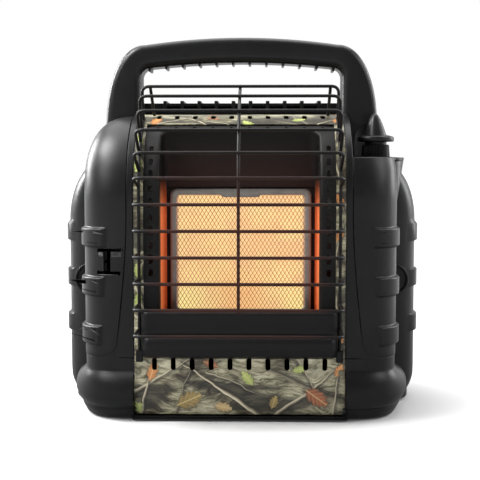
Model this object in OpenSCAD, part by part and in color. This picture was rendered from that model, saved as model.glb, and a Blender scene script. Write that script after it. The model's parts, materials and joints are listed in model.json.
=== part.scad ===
// Portable radiant propane heater: moulded body, printed steel front, wire guard,
// one ceramic tile burner, push-and-turn gas valve and a swing-out regulator.
// Origin: on the floor under the handle. +Z is up and the front faces -Y.

/* [Body] */
// Width across the rear lobes, without the bumpers
rear_w = 375; // [360:1:395]
// Width across the front side covers, without the bumpers
front_w = 315; // [306:1:326]
// Distance from the middle to the seam between front frame and side cover
seam_x = 111; // [109:0.5:114]
// How far the seam runs outwards at the base
seam_spread = 12; // [8:1:14]
// Distance of the front panel's face ahead of the handle line
front_y = 85; // [82:0.5:88]
// Distance of the back wall behind the handle line
back_y = 135; // [130:1:142]
// Height at which the front starts to curve back
arc_z = 220; // [216:1:226]
// Plane between the front covers and the rear shell
part_y = -9; // [-11:0.5:-8]
// Height of the rear lobes
lobe_top = 262; // [256:1:268]
// Rise of the heat outlet above the deck
hump_h = 14; // [12:0.5:16]
// Height of the flared base
base_h = 62; // [58:1:66]
// How far the base flares out past the side covers
base_flare = 20; // [16:1:22]
// Thickness of the moulded walls
wall = 3; // [2.5:0.1:3.5]

/* [Bumpers] */
// Height of each bumper
bumper_h = 20; // [15:1:22]
// Distance between bumpers
bumper_pitch = 48.5; // [46:0.5:52]
// Height of the lowest bumper's middle
bumper_z = 84; // [79:1:87]
// How far the bumpers stand proud
bumper_proud = 3; // [2:0.25:4]

/* [Handle] */
// Rise of the handle above the deck
handle_rise = 80; // [74:1:90]
// Width across the handle's legs
handle_w = 285; // [278:1:290]
// Thickness of the grip
grip_t = 26; // [22:1:30]
// Depth of the handle from front to back
handle_d = 36; // [32:1:40]
// Ribs under the grip
grip_ribs = 12; // [6:1:14]

/* [Front panel] */
// Width of the printed steel panel
panel_w = 208; // [206:0.5:210]
// Thickness of the steel panel
panel_t = 1; // [0.8:0.1:1.2]
// Width of the panel's opening
opening_w = 189; // [186:1:192]
// Height of the opening's lower edge
opening_z = 67; // [64:1:70]
// Slots in each row of air slots
slot_count = 10; // [6:1:10]
// Distance between air slots
slot_pitch = 18.7; // [17:0.1:19]

/* [Reflector] */
// Width of the recess around the burner
mouth_w = 157; // [154:1:160]
// Thickness of the enamelled sheet
hood_t = 1; // [0.8:0.1:1.2]
// Distance of the burner's face ahead of the handle line
burner_y = 32; // [30:1:36]

/* [Burner] */
// Width of the ceramic tile's face
tile_w = 137; // [130:1:140]
// Height of the ceramic tile's face
tile_h = 118; // [112:1:120]
// Thickness of the ceramic tile
tile_t = 13; // [11:0.5:15]
// Height of the tile's middle
tile_z = 165; // [163:1:167]
// Width of the stainless bezel around the tile
bezel = 4; // [3.5:0.25:5]
// Distance between the wires of the diamond screen
mesh_pitch = 6; // [5:0.5:8]

/* [Wire guard] */
// Diameter of the guard's wire
wire_d = 3.2; // [2.8:0.1:3.6]
// Number of bars
bar_count = 12; // [10:1:12]
// Distance between bars
bar_pitch = 24.8; // [24:0.1:25.2]
// Height of the lowest bar
bar_z = 91.5; // [90:0.5:94]
// Width of the guard
guard_w = 200; // [196:1:204]
// Distance of the guard's front ahead of the handle line
guard_y = 135; // [130:1:140]
// Radius at which the guard curves back
guard_r = 123; // [120:1:126]

/* [Knob] */
// Diameter of the knob's flange
knob_d = 37; // [35:1:42]
// Height of the flat ledge under the knob
ledge_z = 260; // [256:1:264]
// Height of the collar that the knob stands in
collar_h = 13; // [11:0.5:15]
// Height of the knob's grip above its flange
grip_h = 19; // [16:1:22]
// How far the knob can be pushed
knob_push = 2.5; // [2:0.1:2.8]
// Diameter of the valve stem
stem_d = 8; // [7:0.5:9]

/* [Fuel bay] */
// Diameter of the fuel cylinder
cyl_d = 100; // [96:1:104]
// Height of the fuel cylinder up to its thread
cyl_h = 190; // [184:1:194]
// Diameter of the regulator
reg_d = 54; // [50:1:56]
// Radius of the cylinder thread in the inlet
inlet_r = 12.7; // [12:0.1:13]
// Depth of the inlet's thread
inlet_h = 12; // [10:0.5:14]
// Radius of the swivel pin
pin_r = 5; // [4:0.25:6]

/* [Base] */
// Diameter of the rubber feet
foot_d = 24; // [20:1:28]
// Height that the feet show below the body
foot_show = 1.5; // [1:0.25:3]

/* [Clearances] */
// Gap between moulded parts that sit side by side
gap = 0.3; // [0.2:0.05:0.4]
// Radial clearance of the turning fits
run_fit = 0.05; // [0.03:0.01:0.08]

/* [Hidden] */
$fn = 48;

black = [0.07, 0.07, 0.075];
soft_black = [0.11, 0.11, 0.12];
steel = [0.75, 0.76, 0.78];
brass = [0.78, 0.62, 0.30];
enamel = [0.16, 0.14, 0.14];

// Heights and planes that several pieces share
deck_z = arc_z + front_y;
hump_z = deck_z + hump_h;
handle_z = deck_z + handle_rise;
cover_drop = 3;
cover_z = deck_z - cover_drop;
pan_z = 12;
sheet_z = 6;
shoulder_z = 225;
lobe_shoulder = 190;
frame_r = front_y + 1;
cover_r = front_y + 1.5;
hood_r = front_y - panel_t - 0.4;
deck_run = 6;
deck_back = 35;
deck_edge_a = 60;
mouth_a = 53;
tuck_z = 30;

// ---------------------------------------------------------------- helpers

// Round bar between two points
module rod(a, b, r) {
    d = b - a;
    translate(a) rotate([0, acos(d[2] / norm(d)), atan2(d[1], d[0])]) cylinder(h = norm(d), r = r);
}

// Box from one corner to the other
module span(a, b) {
    translate([min(a[0], b[0]), min(a[1], b[1]), min(a[2], b[2])])
        cube([abs(b[0] - a[0]), abs(b[1] - a[1]), abs(b[2] - a[2])]);
}

// The same thing on both sides
module both() {
    children();
    mirror([1, 0, 0]) children();
}

// Outline in the Y-Z plane, drawn out along X about the middle
module side_profile(points, w) {
    rotate([90, 0, 90]) linear_extrude(w, center = true) polygon(points);
}

// Outline in the X-Z plane, drawn out between two depths
module front_profile(points, y0, y1) {
    translate([0, y1, 0]) rotate([90, 0, 0]) linear_extrude(y1 - y0) polygon(points);
}

// Rectangle with round corners, as points about its middle
function round_rect(w, h, r, n = 6) = [
    for (c = [[1, 1, 0], [-1, 1, 90], [-1, -1, 180], [1, -1, 270]]) for (i = [0:n])
        [c[0] * (w / 2 - r) + r * cos(c[2] + i * 90 / n), c[1] * (h / 2 - r) + r * sin(c[2] + i * 90 / n)]
];

function shift(points, x, y) = [for (p = points) [p[0] + x, p[1] + y]];

// Sheet that follows the front's upper arc between two angles
module arc_sheet(r, t, x0, x1, a0, a1) {
    translate([0, 0, arc_z]) rotate([90, 0, -90]) rotate([0, 0, a0])
        rotate_extrude(angle = a1 - a0, $fn = 96) translate([r - t, -x1]) square([t, x1 - x0]);
}

// Places a thing at the front of the arc, turned to an angle
module at_arc(a) {
    translate([0, 0, arc_z]) rotate([-a, 0, 0]) children();
}

// Depth of a face of radius r at a height
function face_y(z, r) = z <= arc_z ? -r : -sqrt(max(0, r * r - (z - arc_z) * (z - arc_z)));

// Angle on the arc at which a face of radius r lies at a depth
function arc_angle(y, r) = acos(y / r);

// Points of a face of radius r from a height to an angle on the arc
function face_points(r, z0, a, n = 10) = concat(
    [[-r, z0]], [for (i = [0:n]) [-r * cos(a * i / n), arc_z + r * sin(a * i / n)]]);

// 1 below z0 and 0 above z1, round in between
function shoulder(z, z0, z1, n) =
    z <= z0 ? 1 : z >= z1 ? 0 : pow(1 - pow((z - z0) / (z1 - z0), n), 1 / n);

function bez(p, t) = p[0] * pow(1 - t, 3) + 3 * p[1] * t * pow(1 - t, 2)
    + 3 * p[2] * t * t * (1 - t) + p[3] * t * t * t;

function flat(lists) = [for (l = lists) for (e = l) e];

function mirrored(points) = [for (i = [len(points) - 1:-1:0]) [-points[i][0], points[i][1]]];

// Closed solid through rings of equal length, each counter-clockwise seen from the far end
module skin(rings) {
    n = len(rings[0]);
    m = len(rings);
    low = [for (i = [0:n - 1]) i];
    high = [for (i = [n - 1:-1:0]) (m - 1) * n + i];
    sides = flat([for (j = [0:m - 2]) flat([for (i = [0:n - 1])
        let (a = j * n + i, b = j * n + (i + 1) % n) [[a, a + n, b + n], [a, b + n, b]]])]);
    polyhedron(flat(rings), concat([low], sides, [high]), convexity = 8);
}

// The same through level outlines, given as [height, outline] from below
module loft(levels) {
    skin([for (l = levels) [for (p = l[1]) [p[0], p[1], l[0]]]]);
}

// Bent tube or lead through a list of points, mitred at its bends
module pipe(points, r, sides = 12) {
    n = len(points);
    skin([for (i = [0:n - 1]) let (p = max(i, 1), q = min(i, n - 2), a = points[p] - points[p - 1],
        b = points[q + 1] - points[q], t = a / norm(a) + b / norm(b), w = t / norm(t),
        c = cross(w, [0.2, 1, 0.35]), u = c / norm(c), v = cross(w, u))
        [for (k = [0:sides - 1]) let (g = 360 / sides * k) points[i] + r * (cos(g) * u + sin(g) * v)]]);
}

// ---------------------------------------------------------------- outlines

function seam_at(z) = seam_x
    + seam_spread * pow(max(0, min(1, (200 - z) / (200 - base_h))), 1.5);

cover_round = 2.3;
valley = 0.78;

// Outline of a side cover at a height, its face moved in by d, from seam to valley
function cover_edge(z, d, a0 = 90, a1 = 0) =
    let (s = seam_at(z), reach = (front_w / 2 - d - s) * max(0.1, shoulder(z, shoulder_z, cover_z - d + 0.2, 2.6)),
         yf = face_y(z, cover_r - d), yc = (yf + part_y) / 2)
    concat(
        [for (i = [0:7]) let (u = a0 + (a1 - a0) * i / 7)
            [s + reach * pow(max(0, cos(u)), 2 / cover_round),
             yc - (yc - yf) * pow(max(0, sin(u)), 2 / cover_round)]],
        [for (i = [1:4]) let (v = i / 4)
            [s + reach * (1 - (1 - valley) * v * v), yc + (part_y - yc) * v]]);

function valley_x(z, d = 0) = cover_edge(z, d)[11][0];

cover_levels = [base_h, 80, 100, 125, 150, 175, 200, shoulder_z, 238, 250, 261, 271, 280, 288, 294, 298.5];

function cover_rings(d, back, z0, z1) = [for (z = [for (l = cover_levels) if (l > z0 + 1 && l < z1 - 1) l])
    [z, cover_ring(z, d, back)]];

function cover_ring(z, d, back) = let (s = seam_at(z), e = cover_edge(z, d)) concat(
    [[s - back, part_y + back]], back > 0 ? [[s - back, e[0][1]]] : [], e,
    back > 0 ? [[e[11][0], part_y + back]] : []);

// Side cover as a solid: d moves its face in, back runs it past its open sides
module cover_form(d, back, z0, z1) {
    loft(concat([[z0, cover_ring(max(z0, base_h), d, back)]], cover_rings(d, back, z0, z1),
        [[z1, cover_ring(min(z1, cover_z - d), d, back)]]));
}

// Raised band around the outside of an outline
function band_ring(edge, d) = concat(edge, [for (i = [len(edge) - 1:-1:0]) [edge[i][0] - 6, edge[i][1]]]);

module cover_bumper(z) {
    levels = [[-bumper_h / 2, 0.6], [-bumper_h / 2 + 2, -bumper_proud],
        [bumper_h / 2 - 2, -bumper_proud], [bumper_h / 2, 0.6]];
    loft([for (l = levels) let (h = z + l[0], e = cover_edge(h, l[1], 67, 0))
        [h, concat([for (i = [0:11]) e[i]], [[e[11][0] - 8, e[11][1]], [e[0][0] - 4, e[0][1] + 8]])]]);
}

bumper_heights = [for (i = [0:2]) bumper_z + i * bumper_pitch];

cap_x = 136;
cap_back = 80;
lobe_front_y = 34;
corner_x = 130;

function rear_cap(z) = cap_x * (1 - 0.18 * pow(max(0, (z - lobe_top) / (hump_z - lobe_top)), 3));

// Half width of the rear lobes and depth of the back at a height, moved in by d
function lobe_x(z, d) = let (c = rear_cap(z) - d, h = max(z, pan_z), tuck = max(0, (tuck_z - h) / (tuck_z - pan_z)))
    c + (rear_w / 2 - d - c) * shoulder(z, lobe_shoulder, lobe_top, 2.2) - 6 * tuck * tuck;

function rear_y(z, d) = let (h = max(z, pan_z), tuck = max(0, (tuck_z - h) / (tuck_z - pan_z)))
    cap_back - d + (back_y - cap_back) * shoulder(z, 232, hump_z - d + 0.5, 2.2) - 5 * tuck * tuck;

// Right half of the rear shell's outline, from the parting plane round to the back's middle
function rear_edge(z, d, front) =
    let (x0 = max(valley_x(z), rear_cap(z) - 2) - d, x1 = lobe_x(z, d), yb = rear_y(z, d),
         y1 = min(lobe_front_y, yb - 40), cx = min(corner_x, x1 - 4) - d)
    concat(
        front > 0 ? [[x0, part_y - front]] : [],
        [for (i = [0:5]) bez([[x0, part_y], [x0 + (x1 - x0) * 0.7, part_y + 1], [x1, part_y + 14], [x1, y1]], i / 5)],
        [for (i = [1:6]) bez([[x1, y1], [x1, y1 + (yb - y1) * 0.5], [cx + (x1 - cx) * 0.8, yb - 10], [cx, yb - 2]], i / 6)],
        [[cx * 0.55, yb - 0.5]]);

rear_levels = [16, 21, tuck_z, 80, 135, lobe_shoulder, 203, 216, 228, 238, 247, 254, lobe_top - 3, 268, 278, 288, 298,
    307, 313];

function rear_ring(z, d, front) = let (e = rear_edge(z, d, front)) concat(e, [[0, rear_y(z, d)]], mirrored(e));

module rear_form(d, front, z0) {
    loft(concat([[z0, rear_ring(z0, d, front)]],
        [for (z = rear_levels) if (z < hump_z - d - 1.5) [z, rear_ring(z, d, front)]],
        [[hump_z - d, rear_ring(hump_z - d, d, front)]]));
}

module rear_bumper(z) {
    levels = [[-bumper_h / 2, 0.6], [-bumper_h / 2 + 2, -bumper_proud],
        [bumper_h / 2 - 2, -bumper_proud], [bumper_h / 2, 0.6]];
    loft([for (l = levels) let (h = z + l[0], e = rear_edge(h, l[1], 0))
        [h, concat([for (i = [2:9]) e[i]], [[e[9][0] - 8, e[9][1]], [e[2][0] - 8, e[2][1] + 4]])]]);
}

// Flared base: its widest outline, moved in by d along its normal
base_curve = [[panel_w / 2 + gap, -front_y - 11], [140, -front_y - 11], [150, -55], [rear_w / 2 - 12.5, part_y]];
function base_edge(d) = [for (i = [0:11]) let (t = i / 11, p = bez(base_curve, t),
    q = bez(base_curve, min(1, t + 0.01)) - bez(base_curve, max(0, t - 0.01)), n = [q[1], -q[0]] / norm(q))
    [p[0] - n[0] * d, min(p[1] - n[1] * d, part_y - (11 - i) * 0.8)]];

// Blend between the side cover's outline and the flared one
function base_ring(w, d, back) =
    let (top = cover_edge(base_h, d + 0.6), low = base_edge(d), inner = panel_w / 2 + gap)
    concat([[inner - back, part_y + back], [inner - back, low[0][1] * w + (1 - w) * top[0][1]]],
        [for (i = [1:11]) low[i] * w + top[i] * (1 - w)],
        back > 0 ? [[low[11][0] * w + top[11][0] * (1 - w), part_y + back]] : []);

// Height, share of the flare and inset, from the floor up
base_steps = [[0, 1, 4], [2, 1, 2], [9, 1, 1], [12, 1, 2.5], [15, 1, 1], [19, 1, 0], [26, 1, 0], [32, 0.98, 0.2],
    [37, 0.9, 0.3], [41, 0.72, 0.3], [44, 0.46, 0.2], [47, 0.14, 0], [49.5, 0.02, 0], [base_h, 0, 0]];
flare_share = base_flare / 20;

pan_inset = 12;

// Inset of the skirt's inner face: straight beside the floor pan, then d behind the outer face
function skirt_inset(s, d) = d == 0 ? s[2] : s[0] < 13 ? pan_inset + 2.5 : s[2] + d;

module base_form(d, back, z0, z1) {
    loft(concat([[z0, base_ring(flare_share, skirt_inset(base_steps[0], d), back)]],
        [for (s = base_steps) if (s[0] > z0 + 0.5 && s[0] < base_h - 0.5)
            [s[0] + foot_show * (1 - s[0] / base_h) - (s[0] > 28 ? d * 0.6 : 0),
                base_ring(s[1] * flare_share, skirt_inset(s, d), back)]],
        [[z1, base_ring(0, d, back)]]));
}

// ---------------------------------------------------------------- body

handle_y0 = part_y + gap;
handle_y1 = handle_y0 + handle_d;
leg_in = panel_w / 2 + 1;
leg_out = handle_w / 2;
leg_foot = ledge_z - 10;
niche_r = 29;
knob_x = seam_x + 27;
knob_y = part_y - 21;
niche_z = ledge_z + 18;

// Scoop around the knob: a round well with a domed top
module knob_niche(grow) {
    translate([knob_x, knob_y, leg_foot - 5]) cylinder(h = niche_z - leg_foot + 5, r = niche_r + grow);
    translate([knob_x, knob_y, niche_z]) sphere(r = niche_r + grow);
}

frame_in = opening_w / 2 + 1.5;
side_wall_t = wall;
access_z = [56, 106];
deck_half = leg_in - 0.4;

// Outline of the front frame seen from the front, gap short of the side covers
frame_outline = concat(
    [for (z = [sheet_z, base_h, 80, 100, 125, 150, 175, 200, deck_z + 5]) [seam_at(max(z, base_h)) - gap, z]],
    [for (z = [deck_z + 5, 200, 175, 150, 125, 100, 80, base_h, sheet_z]) [-seam_at(max(z, base_h)) + gap, z]]);

module front_frame() {
    color(black) {
        difference() {
            union() {
                intersection() {
                    union() {
                        span([-140, -frame_r, base_h + gap], [140, wall - frame_r, arc_z]);
                        arc_sheet(frame_r, wall, -140, 140, 0, 90);
                    }
                    front_profile(frame_outline, -frame_r - 1, 5);
                }
                span([-deck_half, 0, deck_z - 2], [deck_half, deck_back - wall - gap, deck_z + 1]);
                span([-panel_w / 2 + gap, -front_y + panel_t, pan_z], [panel_w / 2 - gap, wall - frame_r, base_h + 1]);
            }
            // Window behind the panel
            span([-frame_in, -frame_r - 1, opening_z - 5], [frame_in, -4, deck_z + 5]);
            // Seat of the panel
            span([-panel_w / 2 - gap, -frame_r - 1, base_h - 1], [panel_w / 2 + gap, panel_t - front_y, arc_z]);
            arc_sheet(frame_r + 1, panel_t + 2, -panel_w / 2 - gap, panel_w / 2 + gap, 0, 90);
            span([-panel_w / 2 - gap, 0, deck_z - panel_t], [panel_w / 2 + gap, deck_run + gap, deck_z + 2]);
            // Room for the handle's legs
            both() span([deck_half, part_y, ledge_z], [200, 10, deck_z + 10]);
            // Air slots behind those of the panel
            span([-slot_count * slot_pitch / 2, -front_y - 1, slot_z - 8],
                [slot_count * slot_pitch / 2, 0, slot_z + 8]);
        }
        both() difference() {
            frame_wall();
            // Passage for tubes, leads and the igniter
            span([seam_x - 10, -70, access_z[0]], [seam_x + 10, part_y - 4, access_z[1]]);
        }
        catch_tab();
    }
}

// Side wall of the frame, from the face back to the parting plane
module frame_wall() {
    translate([seam_x - gap - side_wall_t / 2, 0, 0])
        side_profile(concat([[part_y - gap, pan_z], [-frame_r + 2 * wall, pan_z], [-frame_r + 2 * wall, base_h + 1]],
            face_points(frame_r - wall + 0.5, base_h + 1, arc_angle(-part_y + gap, frame_r - wall + 0.5))),
            side_wall_t);
}

window_x = 128;
window_z = 157.5;
window_w = 24;
window_h = 25;

// Moulded tab of the left catch, reaching into the window of the cover
module catch_tab() {
    span([-seam_x + 2, -frame_r + wall + 5, window_z - window_h / 2 + 3],
        [-window_x + 2, -frame_r + wall + 8, window_z + window_h / 2 - 3]);
}

// Half of the lug ring at the valley
lug_z = 132;
lug_r = 17;
lug_x = rear_w / 2 - 28;
lug_t = 7;

module side_cover() {
    difference() {
        union() {
            cover_form(0, 0, base_h + gap, cover_z);
            for (z = bumper_heights) cover_bumper(z);
        }
        cover_form(wall, 12, base_h - 12, cover_z - wall);
    }
}

module left_front_cover() {
    color(black) difference() {
        mirror([1, 0, 0]) side_cover();
        span([-window_x - window_w / 2, -120, window_z - window_h / 2], [-window_x + window_w / 2, -50, window_z + window_h / 2]);
    }
}

// Funnel-shaped boss that carries the ledge past the side cover
module ledge_funnel(d, top) {
    hull($fn = 32) {
        translate([knob_x, knob_y, top - 1]) cylinder(h = 1, r = niche_r - gap - d);
        translate([knob_x + 18, knob_y + 3, ledge_z - 50 + 3 * d]) sphere(r = 4 - d);
    }
}

module right_front_cover() {
    color(black) difference() {
        union() {
            difference() {
                union() {
                    cover_form(0, 0, base_h + gap, cover_z);
                    for (z = bumper_heights) cover_bumper(z);
                }
                span([seam_x - 5, -130, ledge_z], [front_w, 20, deck_z + 20]);
            }
            intersection() {
                ledge_funnel(0, ledge_z - 0.5);
                span([seam_x + gap, -130, 100], [front_w, part_y, ledge_z]);
            }
        }
        intersection() {
            union() {
                cover_form(wall, 12, base_h - 12, cover_z - wall);
                ledge_funnel(wall, ledge_z - 0.5);
            }
            span([0, -130, 0], [front_w, 20, ledge_z - wall]);
        }
        translate([knob_x, knob_y, ledge_z - 10]) cylinder(h = 20, r = collar_in + 0.4);
    }
}

bay_out = rear_w / 2 - 23.5;
bay_in = bay_out - cyl_d - 16;
bay_front = back_y - cyl_d - 12;
bay_top = pan_z + cyl_h + 54;

module rear_shell() {
    color(black) difference() {
        union() {
            difference() {
                union() {
                    rear_form(0, 0, pan_z);
                    both() for (z = bumper_heights) rear_bumper(z);
                }
                rear_form(wall, 5, pan_z - 5);
                // Room for the deck between the handle's legs
                span([-leg_in, part_y - 1, arc_z + 20], [leg_in, deck_back - wall, hump_z + 1]);
                span([-200, part_y - 1, deck_z + 1], [200, deck_back - wall, hump_z + 1]);
            }
            intersection() {
                rear_form(0.5, 0, pan_z);
                union() {
                    // Walls of the fuel bay
                    span([-bay_out - wall, bay_front - wall, pan_z], [-bay_in + wall, 200, bay_top + wall]);
                    // Front of the heat outlet
                    span([-200, deck_back - wall, deck_z - 8], [200, deck_back, hump_z]);
                    // Shelves under the handle's legs
                    both() span([leg_in - gap, part_y, leg_foot - wall - gap], [200, handle_y1 + wall + gap, leg_foot - gap]);
                    both() span([leg_in, handle_y1 + gap, leg_foot - wall], [200, handle_y1 + wall + gap, deck_z - 2]);
                }
            }
        }
        // Fuel bay, open at the back
        span([-bay_out, bay_front, pan_z + wall], [-bay_in, 200, bay_top]);
        // Heat outlet
        span([-grille_w / 2 + 3, deck_back - wall - 1, deck_z + 6], [grille_w / 2 - 3, deck_back + 1, hump_z - 2.5]);
        // Room for the handle's legs
        both() span([leg_in - gap, part_y - 1, leg_foot - gap], [200, handle_y1 + gap, hump_z + 10]);
        knob_niche(0.01);
        // Louvres in the back wall
        for (i = [0:7]) for (x = [10, 90])
            span([x - 30, 100, 70 + i * 14], [x + 30, 160, 75 + i * 14]);
        // Hole for the swivel fitting
        translate([pivot[0], pivot[1], bay_top - 5]) cylinder(h = 20, r = pin_r + 2.2);
        both() translate([lug_x, part_y - 1, lug_z]) rotate([-90, 0, 0]) cylinder(h = lug_t + 1.5, r = lug_r + 0.6);
        // Holes for the handle's screws
        both() for (z = handle_screw_z) translate([handle_screw_x, handle_y1 - 5, z])
            rotate([-90, 0, 0]) cylinder(h = 100, r = 4.6);
    }
}

// Round lug in the valley, with a raised rim, a recessed face and a screw hole
module side_lug() {
    translate([lug_x, part_y, lug_z]) rotate([-90, 0, 0]) difference() {
        cylinder(h = lug_t, r = lug_r);
        translate([0, 0, -1]) cylinder(h = 3.5, r = lug_r - 2.5);
        translate([0, 0, -1]) cylinder(h = lug_t + 2, r = 2.6);
    }
}

module left_side_lug() { color(black) mirror([1, 0, 0]) side_lug(); }
module right_side_lug() { color(black) side_lug(); }

module lug_screws() {
    color(steel) both() translate([lug_x, part_y, lug_z]) rotate([-90, 0, 0]) {
        translate([0, 0, 0.5]) cylinder(h = 2, r = 5);
        translate([0, 0, 2]) cylinder(h = lug_t + 6, r = 2.4);
    }
}

module cover_catch() {
    x0 = -window_x - 6.5;
    color(steel) {
        span([x0, -frame_r + wall + 6, window_z - 9.5], [x0 + 3, -50, window_z - 1.5]);
        span([x0, -frame_r + wall + 6, window_z + 1], [x0 + 3, -50, window_z + 9.5]);
        span([x0, -52, window_z - 9.5], [-seam_x - 0.1, -50, window_z + 9.5]);
    }
}

lip_y = front_y + 7;

module base_tray() {
    color(black) difference() {
        union() {
            both() difference() {
                base_form(0, 0, foot_show, base_h);
                base_form(wall, 12, foot_show - 3, base_h + 3);
            }
            // Lip under the panel and floor of the body
            span([-panel_w / 2 - 2, -lip_y, foot_show + 0.5], [panel_w / 2 + 2, -lip_y + wall, sheet_z - gap]);
            span([-panel_w / 2 - 2, -lip_y, sheet_z - gap - 2.5], [panel_w / 2 + 2, -front_y + 5, sheet_z - gap]);
            floor_pan();
        }
        for (p = foot_places) translate([p[0], p[1], -1]) cylinder(h = pan_z - wall + 1, r = foot_d / 2 - 4);
        for (p = base_screw_places) translate([p[0], p[1], 0]) cylinder(h = 30, r = 2.2);
    }
}

// Floor inside the base, as an open tray that the body stands on
module floor_pan() {
    difference() {
        translate([0, 0, sheet_z - 3]) linear_extrude(pan_z - sheet_z + 3) polygon(pan_ring(0));
        translate([0, 0, sheet_z - 4]) linear_extrude(pan_z - wall - sheet_z + 4) polygon(pan_ring(wall));
    }
    for (p = foot_places) translate([p[0], p[1], sheet_z]) cylinder(h = pan_z - sheet_z - 1, r = foot_d / 2 + 2);
}

function pan_ring(d) = let (e = rear_edge(pan_z, d + 0.5, 0), f = base_edge(pan_inset + (d > 0 ? d : 0)),
    half = concat([for (i = [1:11]) f[i]], [for (i = [2:len(e) - 1]) e[i]]))
    concat([[-panel_w / 2 + 2, -front_y + 4 + d], [panel_w / 2 - 2, -front_y + 4 + d]], half,
        [[0, rear_y(pan_z, d + 0.5)]], mirrored(half));

foot_places = [for (x = [-1, 1]) for (y = [-front_y + 25, back_y - 26]) [x * (y < 0 ? panel_w / 2 - 18 : corner_x - 6), y]];
base_screw_places = [for (x = [-1, 1]) for (y = [-front_y + 48, back_y - 60]) [x * (panel_w / 2 - 30), y]];

module rubber_feet() {
    color([0.05, 0.05, 0.05]) for (p = foot_places) translate([p[0], p[1], 0]) {
        cylinder(h = sheet_z, r = foot_d / 2);
        cylinder(h = pan_z - wall, r = foot_d / 2 - 4.2);
    }
}

module base_screws() {
    color(steel) for (p = base_screw_places) translate([p[0], p[1], 0]) {
        translate([0, 0, sheet_z - 0.5]) cylinder(h = pan_z - wall - sheet_z + 0.5, r = 4);
        translate([0, 0, pan_z - wall]) cylinder(h = wall - 0.2, r = 2);
    }
}

// ---------------------------------------------------------------- handle

crown = 8;
arch_round = 42;

// Outline of the arch: legs, round shoulders and a slightly crowned top
function crown_z(x, top) = top - crown * pow(x / (leg_out - 38), 2);

grip_under = handle_z - grip_t;
arch_x = leg_out - arch_round;
arch_foot = deck_z - 15;
arch_bend = 2.15;

// Points along the right half of the arch, each as its outer and its inner point
arch_half_path = concat(
    [[[leg_out, leg_foot], [leg_in, leg_foot]]],
    [for (i = [0:8]) let (a = i * 11.25, b = max(0, a * 1.5 - 45)) [
        [arch_x + arch_round * pow(cos(a), 2 / arch_bend),
            arch_foot + (crown_z(arch_x, handle_z) - arch_foot) * pow(sin(a), 2 / arch_bend)],
        [leg_in - 10 + 10 * cos(b), crown_z(leg_in - 20, grip_under) - 10 + 10 * sin(b) - max(0, 30 - a) * 1.6]]],
    [for (i = [1:4]) let (f = 1 - i / 4) [
        [arch_x * f, crown_z(arch_x * f, handle_z)],
        [(leg_in - 10) * f, crown_z((leg_in - 20) * f, grip_under)]]]);
arch_path = concat(arch_half_path, [for (i = [len(arch_half_path) - 2:-1:0])
    [for (p = arch_half_path[i]) [-p[0], p[1]]]]);

rib_pitch = 17.5;

module handle_ribs(y0, y1) {
    for (i = [0:grip_ribs - 1]) let (x = (i - (grip_ribs - 1) / 2) * rib_pitch)
        span([x - 1.5, y0, crown_z(x, grip_under) - 2], [x + 1.5, y1, crown_z(x, grip_under) + 2]);
}

handle_mid = (handle_y0 + handle_y1) / 2;
handle_screw_x = (leg_in + leg_out) / 2 - 2;
handle_screw_z = [ledge_z + 12, deck_z + 5];

// Half of the arch, from its middle plane to a face with rounded edges
module arch_half(face, mid) {
    s = face < mid ? -1 : 1;
    steps = [[mid, 0], [face - 5 * s, 0], [face - 2 * s, 1.2], [face - 0.6 * s, 3], [face, 5]];
    skin([for (p = arch_path) let (u = (p[1] - p[0]) / norm(p[1] - p[0]), ring = concat(
        [for (i = [0:4]) let (q = p[0] + u * steps[i][1]) [q[0], steps[i][0], q[1]]],
        [for (i = [4:-1:0]) let (q = p[1] - u * steps[i][1]) [q[0], steps[i][0], q[1]]]))
        s > 0 ? ring : [for (i = [9:-1:0]) ring[i]]]);
}

module handle_front() {
    color(black) difference() {
        union() {
            arch_half(handle_y0, handle_mid);
            handle_ribs(handle_y0 + 6, handle_mid);
        }
        knob_niche(0);
        both() for (z = handle_screw_z) translate([handle_screw_x, handle_mid - 12, z])
            rotate([-90, 0, 0]) cylinder(h = 13, r = 1.8);
    }
}

module handle_rear() {
    color(black) difference() {
        union() {
            arch_half(handle_y1, handle_mid);
            handle_ribs(handle_mid, handle_y1 - 6);
        }
        both() for (z = handle_screw_z) translate([handle_screw_x, handle_mid - 1, z]) rotate([-90, 0, 0]) {
            cylinder(h = handle_d, r = 2.3);
            translate([0, 0, handle_d / 2 - 6]) cylinder(h = handle_d, r = 4.5);
        }
    }
}

module handle_screws() {
    color(steel) both() for (z = handle_screw_z) translate([handle_screw_x, handle_mid, z]) rotate([-90, 0, 0]) {
        translate([0, 0, -10]) cylinder(h = handle_d / 2 + 5, r = 1.8);
        translate([0, 0, handle_d / 2 - 7]) cylinder(h = 3, r = 4);
    }
}

grille_w = 2 * leg_in - 38;

// Comb of fins over the heat outlet
module top_grille() {
    fin_top = hump_z + 2.5;
    color(soft_black) {
        span([-grille_w / 2, deck_back - wall - 3, deck_z + 1], [grille_w / 2, deck_back - wall, deck_z + 5]);
        for (i = [0:slot_count - 1]) let (x = (i - (slot_count - 1) / 2) * slot_pitch * 0.99) {
            span([x - 2, deck_back - wall - 3, deck_z + 1], [x + 2, deck_back - wall, fin_top]);
            span([x - 2, deck_back - wall - 3, hump_z], [x + 2, cap_back - 10, fin_top]);
        }
    }
}

// ---------------------------------------------------------------- front

slot_z = 56;
slot_w = 5;
slot_h = 12;
deck_slot_a = 73.5;
deck_slot_h = 14;

module air_slots(w, h, d) {
    for (i = [0:slot_count - 1]) translate([(i - (slot_count - 1) / 2) * slot_pitch, 0, 0])
        cube([w, d, h], center = true);
}

guard_leg_x = 90;

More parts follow.
